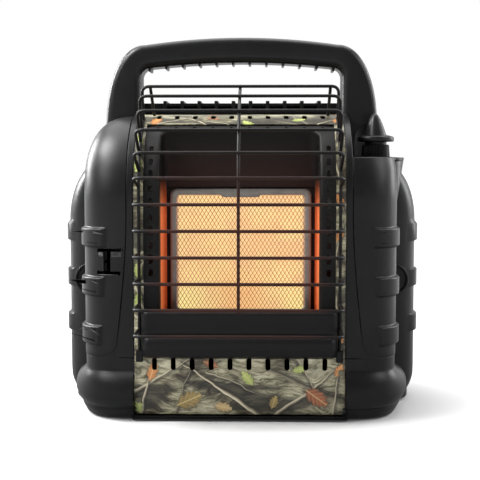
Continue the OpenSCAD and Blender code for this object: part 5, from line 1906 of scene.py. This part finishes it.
@dataclass
class FrontFace(Assembly):
    """Front frame, printed panel with its slots, and the deck's comb of fins."""

    opening_w: float = 0.189
    opening_z: float = 0.067
    slots: int = 10
    slot_w: float = 0.005
    sheet_low: float = 0.006
    edge_angle: float = 60.0
    slot_angle: float = 73.5

    def panel(self) -> None:
        """Printed sheet: punched flat with a large opening and two rows of slots, then bent."""
        plan = self.plan
        half, front, back = plan.panel_w / 2, -0.003, 0.004

        def up(angle: float) -> float:
            """Length of the sheet up to an angle of its bend."""
            return plan.arc_z + math.radians(angle) * plan.front_y

        rows = (heights(self.sheet_low, plan.arc_z, 0.02)[:-1]
                + heights(plan.arc_z, up(90) + 0.006, 0.0033))

        def place(u: float, z: float) -> Vector:
            """Point on the flat sheet."""
            return Vector((-half + plan.panel_w * u, 0, z))

        sheet = walled(draped(14, rows, place), 0.001)
        moved(sheet, (0, -min(v.co.y for v in sheet.verts), 0))
        cuts = []
        for i in range(self.slots):
            x = (i - (self.slots - 1) / 2) * plan.slot_pitch
            x0, x1 = x - self.slot_w / 2, x + self.slot_w / 2
            for z, h in ((0.056, 0.006), (up(self.slot_angle), 0.007)):
                cuts.append(slot((x0, front, z - h), (x1, back, z + h), self.slot_w * 0.46, 5))
        cuts += [bolt((side * (half - 0.004), front, z), 0.0016, 0.007, (0, 1, 0), 20)
                 for side in (-1, 1) for z in (0.020, 0.048)]
        cuts.append(block((-self.opening_w / 2, front, self.opening_z),
                          (self.opening_w / 2, back, up(self.edge_angle))))
        sheet = combined(sheet, gathered(cuts), Cut.TAKE)
        layer = sheet.loops.layers.uv.new("sheet")
        for face in sheet.faces:
            for loop in face.loops:
                loop[layer].uv = (loop.vert.co.x, loop.vert.co.z)
        for vert in sheet.verts:
            x, depth, length = vert.co
            vert.co = plan.on_bend(x, length, plan.front_y, depth)
        self.shop.piece("printed_panel", sheet, PRINT, replaces=("front_panel",), sharp=35)

    def make(self) -> None:
        """Builds the frame, the panel and the fins."""
        self.shop.dress("front_frame", PLASTIC, 0.0007, 30)
        self.panel()
        self.shop.dress_all(
            ("panel_screws", OLIVE, 0.0003), ("top_grille", KNOB_PLASTIC, 0.0006),
            ("left_side_lug", PLASTIC, 0.0007), ("right_side_lug", PLASTIC, 0.0007),
            ("lug_screws", ZINC, 0.0003))


@dataclass
class Recess(Assembly):
    """Enamelled recess around the burner, with its bent rim, and the deflector below it."""

    sheet_r: float = 0.0836
    half_w: float = 0.096
    low: float = 0.071
    high_angle: float = 66.0
    mouth_half: float = 0.0785
    mouth_low: float = 0.100
    mouth_angle: float = 53.0
    bend: float = 0.0035
    corner: float = 0.010
    back_y: float = -0.030
    roof_z: float = 0.230
    around: int = 176
    punch_x: float = 0.0875
    punch_w: float = 0.0043
    punch_pitch: float = 0.0137
    shelf_half: float = 0.0965

    def rings(self) -> list[Callable[[float], Vector]]:
        """Rings of the recess, from the sheet's outer edge in to the burner.

        Returns:
            A function for each ring, from its share round to a point.
        """
        arc, half = self.plan.arc_z, self.mouth_half
        top = arc + self.sheet_r * math.radians(self.high_angle)
        mouth_top = arc + self.sheet_r * math.radians(self.mouth_angle)

        def bent(t: float, a: float) -> Vector:
            """Point of the bend, at an angle from the recess's wall."""
            out = self.bend * (1 - math.sin(a))
            low, high = self.mouth_low - out, mouth_top + out
            x, s = rectangle(t, half + out, low, high, self.corner + out)
            return self.plan.on_bend(x, s, self.sheet_r, self.bend * (1 - math.cos(a)))

        def edge(t: float) -> Vector:
            """Point of the sheet's outer edge."""
            x, s = rectangle(t, self.half_w, self.low, top, 0.0005)
            return self.plan.on_bend(x, s, self.sheet_r, 0.0)

        def deep(t: float) -> Vector:
            """Point of the recess's back edge."""
            x, z = rectangle(t, half - 0.0005, self.mouth_low, self.roof_z, 0.006)
            return Vector((x, self.back_y, z))

        def wall(t: float, f: float) -> Vector:
            """Point of the wall, at a share of its depth."""
            return bent(t, math.pi / 2).lerp(deep(t) - Vector((0, 0.0015, 0)), f)

        def burner(t: float) -> Vector:
            """Point of the hole for the burner."""
            x, z = rectangle(t, 0.0728, TILE_Z - 0.0633, TILE_Z + 0.0633, 0.007)
            return Vector((x, self.back_y, z))

        return ([edge] + [lambda t, a=math.radians(15 * k): bent(t, a) for k in range(7)]
                + [lambda t, f=k / 8: wall(t, f) for k in range(1, 9)]
                + [lambda t: deep(t).lerp(Vector((0, self.back_y, TILE_Z)), 0.012), burner])

    def make(self) -> None:
        """Builds the recess and the deflector."""
        bm = draped(self.around, self.rings(), lambda u, ring: ring(u))
        bm = walled(facing_front(welded(bm)), 0.0008)
        bm = combined(bm, self.punches(), Cut.TAKE)
        self.shop.piece("recess_sheet", bm, ENAMEL, replaces=("reflector_hood",), sharp=35)
        self.deflector()

    def punches(self) -> Form:
        """Slots beside the mouth and round holes above it.

        Returns:
            The mesh.
        """
        cuts = []
        r, arc, half = self.sheet_r, self.plan.arc_z, self.punch_w / 2
        tall = (0.0100, 0.0070)

        def punch(x: float, z: float, h: float) -> Form:
            """Cutter of one slot."""
            return slot((x - half, -r - 0.002, z - h / 2), (x + half, -r + 0.002, z + h / 2),
                        0.0020, 4)

        for x in (-self.punch_x, self.punch_x):
            cuts += [punch(x, arc - 0.005 - i * self.punch_pitch, tall[i % 2]) for i in range(6)]
            for i in range(4):
                bm = punch(x, 0.0, tall[1 - i % 2])
                angle = math.radians(6.5 + math.degrees(i * self.punch_pitch / r))
                turn = Matrix.Translation((0, 0, arc)) @ Matrix.Rotation(-angle, 4, "X")
                bmesh.ops.transform(bm, matrix=turn, verts=bm.verts)
                cuts.append(bm)
        a = math.radians((self.mouth_angle + 60.0) / 2)
        aim = Vector((0, -math.cos(a), math.sin(a)))
        for i in range(10):
            x = (i - 4.5) * self.plan.slot_pitch * 0.985
            cuts.append(bolt(Vector((x, 0, arc)) + aim * (r - 0.003), 0.0017, 0.006, aim, 20))
        return gathered(cuts)

    def deflector(self) -> None:
        """Black sheet below the burner: shelf, flat band and rolled lower edge."""
        corners = ((-84.6, 109.1), (-97.6, 110), (-99.5, 107.5), (-99.5, 89.5), (-97.6, 86.6),
                   (-101.6, 84.4), (-103.5, 80), (-103.0, 73), (-98.6, 65.8), (-91, 62.6),
                   (-85.4, 62))
        profile = rounded([Vector((0, y * MM, z * MM)) for y, z in corners], 0.006, 6)
        face, half, soft = -self.plan.front_y - 0.0003, self.shelf_half, 0.009
        band_z, roll_z = 0.086, 0.0765
        ends = [soft * (1 - math.cos(math.radians(9 * k))) - half for k in range(10)]
        middle = [-half + soft + (2 * half - 2 * soft) * k / 24 for k in range(1, 24)]
        ends.append(-half + soft)
        widths = ends + middle + [-x for x in reversed(ends)]

        def place(x: float, p: Vector) -> Vector:
            """Point on the deflector."""
            out = clamp((abs(x) - half + soft) / soft)
            full = (1 - out ** 2.4) ** (1 / 2.4)
            if p.z > band_z:
                return Vector((x, face + (p.y - face) * (0.35 + 0.65 * full), p.z))
            return Vector((x, face + (p.y - face) * full,
                           roll_z + (p.z - roll_z) * (0.55 + 0.45 * full)))

        bm = walled(facing_front(draped(widths, profile, place)), 0.0012)
        self.shop.piece("deflector_front", bm, DEFLECTOR_PAINT, replaces=("lower_deflector",),
                        sharp=50)
        left, shelf = -0.0782, 0.103
        rows = ((-34.4, 0, -1), (-60, 2, 1), (-83.6, 6, 5), (-87, 6.2, 5.2))
        plate = ([(left, y * MM, shelf + z * MM) for y, z, _ in rows]
                 + [(left, y * MM, shelf + z * MM) for y, _, z in reversed(rows)])
        notch = block((0.035, -0.056, shelf - 0.005), (0.075, -0.020, shelf + 0.010))
        bed = combined(prism(plate, (-2 * left, 0, 0)), notch, Cut.TAKE)
        self.shop.piece("deflector_shelf", bed, DEFLECTOR_PAINT, sharp=50)


@dataclass
class WireGuard(Assembly):
    """Welded wire guard in front of the burner."""

    wire_r: float = 0.0016
    bars: int = 12
    pitch: float = 0.0248
    low: float = 0.0915
    half_w: float = 0.0984
    front: float = 0.1334
    arc_r: float = 0.123
    straight: int = 5
    rail_r: float = 0.0875
    rail_low: float = 0.062
    rail_end: float = 66.0
    hook_x: float = 0.090
    bend: float = 0.008

    @property
    def centre_y(self) -> float:
        """Depth of the middle of the guard's own arc."""
        return self.arc_r - self.front

    @property
    def centre_z(self) -> float:
        """Height of the middle of the guard's own arc."""
        return self.low + self.straight * self.pitch

    def angle(self, k: int) -> float:
        """Angle of a bar on the arc."""
        return max(0, k - self.straight) * self.pitch / self.arc_r

    def at(self, k: int) -> Vector:
        """Middle of a bar.

        Args:
            k: Number of the bar, from the lowest.

        Returns:
            The point.
        """
        if k <= self.straight:
            return Vector((0, -self.front, self.low + k * self.pitch))
        a = self.angle(k)
        return Vector((0, self.centre_y - self.arc_r * math.cos(a),
                       self.centre_z + self.arc_r * math.sin(a)))

    def leg(self, k: int) -> float:
        """Length of a bar's leg back to the side rail.

        Args:
            k: Number of the bar, from the lowest.

        Returns:
            The length.
        """
        p, a = self.at(k), self.angle(k)
        flat = (-self.rail_r - p.y) / math.cos(a)
        if p.z - flat * math.sin(a) <= self.plan.arc_z:
            return flat
        qy, qz = p.y, p.z - self.plan.arc_z
        b = math.cos(a) * qy - math.sin(a) * qz
        c = qy * qy + qz * qz - self.rail_r ** 2
        return -b - math.sqrt(max(0.0, b * b - c))

    def bar(self, k: int) -> Form:
        """One bar with its bent ends.

        Args:
            k: Number of the bar, from the lowest.

        Returns:
            The mesh.
        """
        p, a, leg = self.at(k), self.angle(k), self.leg(k)
        back = Vector((0, math.cos(a), -math.sin(a)))
        side = Vector((self.half_w, 0, 0))
        corners = [p - side + back * leg, p - side, p + side, p + side + back * leg]
        return tube(rounded(corners, self.bend, 8), self.wire_r, 12)

    def upright(self, x: float, r: float, cy: float, cz: float, low: float,
                end: float) -> Form:
        """Wire that runs straight up and then round an arc.

        Args:
            x: Its place across.
            r: Radius of the arc.
            cy: Depth of the arc's middle.
            cz: Height of the arc's middle.
            low: Height of its foot.
            end: Angle at which it ends.

        Returns:
            The mesh.
        """
        points = [Vector((x, cy - r, z)) for z in heights(low, cz, 0.02)]
        angles = [end * i / 18 for i in range(1, 19)]
        points += [Vector((x, cy - r * math.cos(a), cz + r * math.sin(a))) for a in angles]
        return tube(points, self.wire_r, 12)

    def make(self) -> None:
        """Builds the guard and its clips."""
        parts = [self.bar(k) for k in range(self.bars)]
        top = self.at(self.bars - 1)
        for side in (-1, 1):
            parts.append(self.upright(side * self.half_w, self.rail_r, 0, self.plan.arc_z,
                                      self.rail_low, math.radians(self.rail_end)))
            start = Vector((side * self.hook_x, top.y, top.z))
            end = Vector((side * self.hook_x, -0.013, self.plan.deck_z - 0.0035))
            parts.append(tube([start, start.lerp(end, 0.5), end], self.wire_r, 12))
        last = self.angle(self.bars - 1) + math.radians(0.5)
        parts.append(self.upright(0, self.arc_r - 0.0027, self.centre_y, self.centre_z,
                                  self.low + self.pitch - 0.003, last))
        self.shop.piece("guard_wires", gathered(parts), GUARD_PAINT, replaces=("wire_guard",),
                        sharp=50)
        self.shop.dress("guard_clips", GUARD_PAINT, 0.0004)


@dataclass
class Burner(Assembly):
    """Ceramic tile, its bezel and wire screen, and the box behind it."""

    mid_z: float = TILE_Z
    half_w: float = TILE_HALF_W
    half_h: float = TILE_HALF_H
    face_y: float = -0.032
    across: float = 0.00415
    rise: float = 0.0068
    wire: float = 0.00030
    bezel: float = 0.004
    drop: float = 0.004
    tab_half: float = 0.021
    shortest: float = 0.002

    def screen(self) -> Form:
        """Diamond screen of thin crossing wires.

        Returns:
            The mesh.
        """
        parts = []
        slope = self.rise / self.across
        hw, hh = self.half_w - 0.001, self.half_h - 0.001
        count = math.ceil((hw + hh / slope) / self.across)
        for way in (-1, 1):
            for i in range(-count, count + 1):
                x0 = i * self.across + 0.5 * self.across
                y = self.face_y - 0.0007 + self.wire * 0.55 * way
                ends = []
                for h in (-hh - self.drop, hh):
                    x = x0 + way * h / slope
                    if abs(x) > hw:
                        x = math.copysign(hw, x)
                        h = (x - x0) * way * slope
                    ends.append(Vector((x, 0, h)))
                if max(-ends[0].z - self.drop, ends[1].z) > hh + WELD:
                    continue
                if (ends[1] - ends[0]).length >= self.shortest:
                    path = [Vector((p.x, y, self.mid_z + p.z)) for p in ends]
                    parts.append(tube(path, self.wire, 5))
        return gathered(parts)

    def bezel_ring(self) -> Form:
        """Pressed stainless frame with a low tab in the middle of its top.

        Returns:
            The mesh.
        """
        mid, b, tab = self.mid_z, self.bezel, 0.0026
        rows = ((b + 0.003, 0.009, 0, 3.2), (b + 0.0002, 0.008, 0, 3.2), (b, 0.008, 0, 2.8),
                (b, 0.008, 0, -1.2), (b - 0.0003, 0.0077, 0, -1.8), (b - 0.001, 0.007, 0, -2.0),
                (-0.0015, 0.0055, tab, -2.0), (-0.0020, 0.005, tab, -1.7),
                (-0.0021, 0.005, tab, -1.1))

        def place(u: float, row: tuple[float, ...]) -> Vector:
            """Point on the frame.

            Args:
                u: Share of the way round.
                row: Reach, corner, hang of the tab and depth.

            Returns:
                The point.
            """
            out, r, hang, y = row
            top = mid + self.half_h + out
            x, z = rectangle(u, self.half_w + out, mid - self.half_h - out - self.drop, top, r)
            if z > top - 0.0008 and abs(x) < self.tab_half:
                z -= hang * min(1.0, (self.tab_half - abs(x)) / 0.003)
            return Vector((x, self.face_y + y * MM, z))

        return facing_front(welded(draped(320, rows, place)))

    def make(self) -> None:
        """Builds what glows and dresses what is behind it."""
        tile = self.shop.copy_of("burner_tile")
        for vert in tile.verts:
            vert.co.z -= self.drop * (vert.co.z < self.mid_z - self.half_h * 0.9)
        self.shop.piece("hot_tile", tile, TILE, replaces=("burner_tile",), edge=0.0006)
        self.shop.piece("hot_screen", self.screen(), SCREEN, replaces=("burner_screen",), sharp=80)
        self.shop.piece("burner_bezel", self.bezel_ring(), BEZEL_STEEL, replaces=("burner_frame",),
                        thickness=0.0006, sharp=40)
        self.shop.dress_all(
            ("burner_gasket", FIBRE, 0), ("burner_plenum", ALUMINIUM, 0.0005),
            ("mixing_tube", ALUMINIUM, 0), ("gas_orifice", BRASS, 0),
            ("heat_shield", ALUMINIUM, 0.0003), ("pilot_bracket", ZINC, 0.0002),
            ("pilot_burner", BRASS, 0.0003), ("thermocouple", COPPER, 0.0004),
            ("thermocouple_lead", COPPER, 0), ("spark_electrode", ZINC, 0),
            ("electrode_insulator", CERAMIC, 0.0003), ("pilot_tube", ALUMINIUM, 0))


@dataclass
class GasControl(Assembly):
    """Knob, stem, valve and igniter under the right shoulder."""

    flange_r: float = 0.0185
    flange_z: float = 0.276
    stem_r: float = 0.00402
    flutes: int = 60

    def knob(self) -> None:
        """Push-and-turn knob: skirted flange and a rounded grip."""
        cx, cy = centre_of("control_knob")
        lo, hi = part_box("control_knob")
        base, flange, r = lo.z, self.flange_z, self.flange_r
        rim = ((-1.2, 0), (-0.3, 0.4), (0, 1.2), (0, 3.8), (-0.4, 4.7), (-1.4, 5.3), (-4.5, 6.2),
               (-8.0, 7.2))
        profile = ([(self.stem_r, base), (0.0106, base), (0.0110, base + 0.0004),
                    (0.0110, flange - 0.0006), (0.0116, flange - 0.0002)]
                   + [(r + x * MM, flange + z * MM) for x, z in rim] + [(0.0, flange + 0.0078)])
        skirt = turned(profile, (cx, cy, 0), 72)
        top, foot = hi.z + 0.0032, flange + 0.0055

        def place(u: float, v: float) -> Vector:
            """Point on the grip.

            Args:
                u: Share of the way round.
                v: Share of the way up.

            Returns:
                The point.
            """
            a = u * math.tau
            lift = math.sin(v * math.pi / 2)
            full = math.sqrt(max(0.0, 1 - lift)) if v < 1 else 0.0
            wide = 0.0108 * full
            deep = (0.0150 - 0.0025 * lift) * full ** 0.6
            x = abs(math.cos(a)) ** 0.75 * math.copysign(1, math.cos(a)) * wide
            y = abs(math.sin(a)) ** 0.85 * math.copysign(1, math.sin(a)) * deep
            return Vector((cx - 0.0015 * lift + x, cy + y, foot + (top - foot) * lift))

        grip = sealed(draped(48, 22, place))
        self.shop.piece("knob_grip", grip, KNOB_PLASTIC, "knob", sharp=50)
        self.shop.piece("knob_skirt", skirt, KNOB_PLASTIC, "knob", ("control_knob",), sharp=40)

    def collar(self) -> None:
        """Collar that the knob stands in, with upright flutes."""
        cx, cy = centre_of("knob_collar")
        lo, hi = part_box("knob_collar")
        r1, inner = (hi.x - lo.x) / 2, 0.0116
        r2, around = r1 - 0.0009, 3 * self.flutes
        profile = [(inner, lo.z), (r1 - 0.0002, lo.z), (r1, lo.z + 0.0006),
                   (r2, hi.z - 0.0008), (r2 - 0.0007, hi.z), (inner + 0.0003, hi.z),
                   (inner, hi.z - 0.0004), (inner, lo.z)]

        def place(u: float, at: Pair) -> Vector:
            """Point on the collar, with flutes round its outside."""
            r, z = at
            r -= 0.0006 * (round(u * around) % 3 == 0) * (r > r2 - 0.0001)
            return Vector((cx + r * math.cos(u * math.tau), cy + r * math.sin(u * math.tau), z))

        collar = sealed(draped(around, profile, place))
        self.shop.piece("knob_well", collar, PLASTIC, replaces=("knob_collar",), sharp=20)

    def make(self) -> None:
        """Builds the knob and dresses the rest."""
        self.knob()
        self.collar()
        self.shop.dress_all(
            ("valve_body", ALUMINIUM, 0.0006), ("valve_bracket", ZINC, 0.0002),
            ("valve_stem", BRASS, 0.0003), ("knob_spring", ZINC, 0),
            ("striker_plate", ZINC, 0.0002), ("piezo_igniter", IGNITER, 0.0006),
            ("piezo_plunger", RED, 0.0003), ("igniter_wire", WIRE_RED, 0),
            ("burner_gas_tube", ALUMINIUM, 0), ("supply_tube", ALUMINIUM, 0))


@dataclass
class FuelInlet(Assembly):
    """Swivelling regulator in the fuel bay, and the tip-over switch."""

    def make(self) -> None:
        """Dresses the fittings."""
        self.shop.dress_all(
            ("swivel_fitting", BRASS, 0.0004), ("regulator_body", ZINC, 0.0008),
            ("regulator_cap", ZINC, 0.0006), ("inlet_fitting", BRASS, 0.0003),
            ("inlet_seal", RUBBER, 0.0002), ("tip_switch_case", IVORY, 0.0005),
            ("tip_switch_weight", ZINC, 0.0004), ("tip_switch_leads", WIRE_BLUE, 0))


# ------------------------------------------------------------------ studio


@dataclass(frozen=True)
class Lamp:
    """One soft lamp of the studio."""

    name: str
    place: Triple
    aim: Triple
    size: Pair
    power: float

    def make(self) -> None:
        """Hangs the lamp."""
        data = bpy.data.lights.new(self.name, "AREA")
        data.shape, data.size, data.size_y, data.energy = "RECTANGLE", *self.size, self.power
        obj = placed(self.name, data)
        obj.location = self.place
        way = Vector(self.aim) - Vector(self.place)
        obj.rotation_euler = way.to_track_quat("-Z", "Y").to_euler()


@dataclass
class Studio:
    """Pale floor, soft lamps and the camera."""

    eye: Triple = (0.023, -1.060, 0.2525)
    tilt: float = 4.3
    swing: float = 1.32
    lens: float = 75.0
    front_level: float = 0.18
    back_level: float = 0.9
    lamps: tuple[Lamp, ...] = (
        Lamp("left_softbox", (-1.05, -0.75, 1.05), (-0.05, 0, 0.18), (0.55, 0.75), 13.0),
        Lamp("right_softbox", (1.15, -0.45, 0.95), (0.05, 0, 0.18), (0.5, 0.8), 8.0),
        Lamp("overhead", (0.0, 0.30, 1.35), (0, 0, 0.2), (1.5, 1.0), 20.0),
        Lamp("shoulder", (-0.80, -0.20, 1.22), (-0.13, -0.05, 0.22), (0.42, 0.42), 25.0),
        Lamp("left_rim", (-1.22, 0.56, 0.74), (0, 0, 0.16), (0.5, 0.7), 34.0),
        Lamp("right_rim", (1.26, 0.52, 0.68), (0, 0, 0.16), (0.5, 0.9), 12.0),
    )

    def camera(self) -> None:
        """Sets up the camera."""
        data = bpy.data.cameras.new("camera")
        data.lens, data.sensor_width, data.sensor_fit = self.lens, 36.0, "HORIZONTAL"
        data.clip_start, data.clip_end = 0.01, 50.0
        obj = placed("camera", data)
        obj.location = self.eye
        obj.rotation_euler = (math.radians(90 - self.tilt), 0, math.radians(self.swing))
        bpy.context.scene.camera = obj

    def floor(self) -> None:
        """Lays the floor: white far off, with a real and a painted shadow round the object."""
        bm = bmesh.new()
        bmesh.ops.create_grid(bm, x_segments=1, y_segments=1, size=30)
        floor = placed("floor", mesh_of("floor", bm))
        s = Shader("floor_paper")
        s.set(Base_Color=(0.82, 0.82, 0.82), Roughness=0.9, Specular_IOR_Level=0.1)
        x, y, _ = s.axes()
        # Painted shadow: the floor's glow is dimmed round the object's foot, nearly dark right
        # under it, and reaches white only far off.
        far = (x * x + y * y).rise(0.05, 2.4)
        beside = (x * x * 0.4 + y * y).rise(0.009, 0.03)
        near = s.mix(beside, (0.03, 0.03, 0.03), (0.34, 0.34, 0.34))
        paper = s.node("ShaderNodeBsdfDiffuse", {}, {"Color": (0.5, 0.5, 0.5)})
        light = s.node("ShaderNodeEmission", {}, {"Color": s.mix(far, near, (1.04, 1.04, 1.04)),
                                                  "Strength": 1.0})
        # Painted shade in reflections: near the object, glossy rays see a dimmed floor.
        reflected_painted_shade = s.node("ShaderNodeEmission", {}, {"Color": (0.26, 0.26, 0.26), "Strength": 1.0})
        both = s.node("ShaderNodeAddShader", {}, {0: paper.outputs[0], 1: light.outputs[0]})
        shown = s.blend(s.rays("Glossy") * (1 - far) * 0.8, both, reflected_painted_shade)
        s.show(s.blend(s.rays("Camera", "Glossy", "Transmission"), s.surface, shown))
        floor.data.materials.append(s.material)

    def sky(self) -> None:
        """White all round to the eye, a plain soft level for the object."""
        s = WorldShader("studio")
        _, y, _ = s.axes(s.node("ShaderNodeTexCoord").outputs["Generated"])
        level = s.node("ShaderNodeMapRange", {}, {
            "Value": y, "From Min": -0.35, "From Max": 0.8, "To Min": self.front_level,
            "To Max": self.back_level})
        soft = s.node("ShaderNodeBackground", {}, {"Color": WHITE,
                                                   "Strength": level.outputs["Result"]})
        white = s.node("ShaderNodeBackground", {}, {"Color": WHITE, "Strength": 1.0})
        s.show(s.blend(s.rays("Camera", "Transmission"), soft, white))

    def make(self) -> None:
        """Sets up the whole studio."""
        self.camera()
        self.floor()
        self.sky()
        for lamp in self.lamps:
            lamp.make()
        bpy.context.scene.view_settings.view_transform = "Standard"


def main() -> None:
    logging.basicConfig(level=logging.INFO, format="%(message)s", stream=sys.stdout)
    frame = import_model()
    shop = Workshop(frame)
    Studio().make()
    for kind in (FrontCovers, RearShell, FlaredBase, CarryHandle, FrontFace, Recess, WireGuard,
                 Burner, GasControl, FuelInlet):
        kind(shop).make()
        log.info("%s done", kind.__name__)
    for node in sorted(set(frame["nodes"]) - shop.dressed):
        shop.dress(node, PLASTIC)


if __name__ == "__main__":
    main()
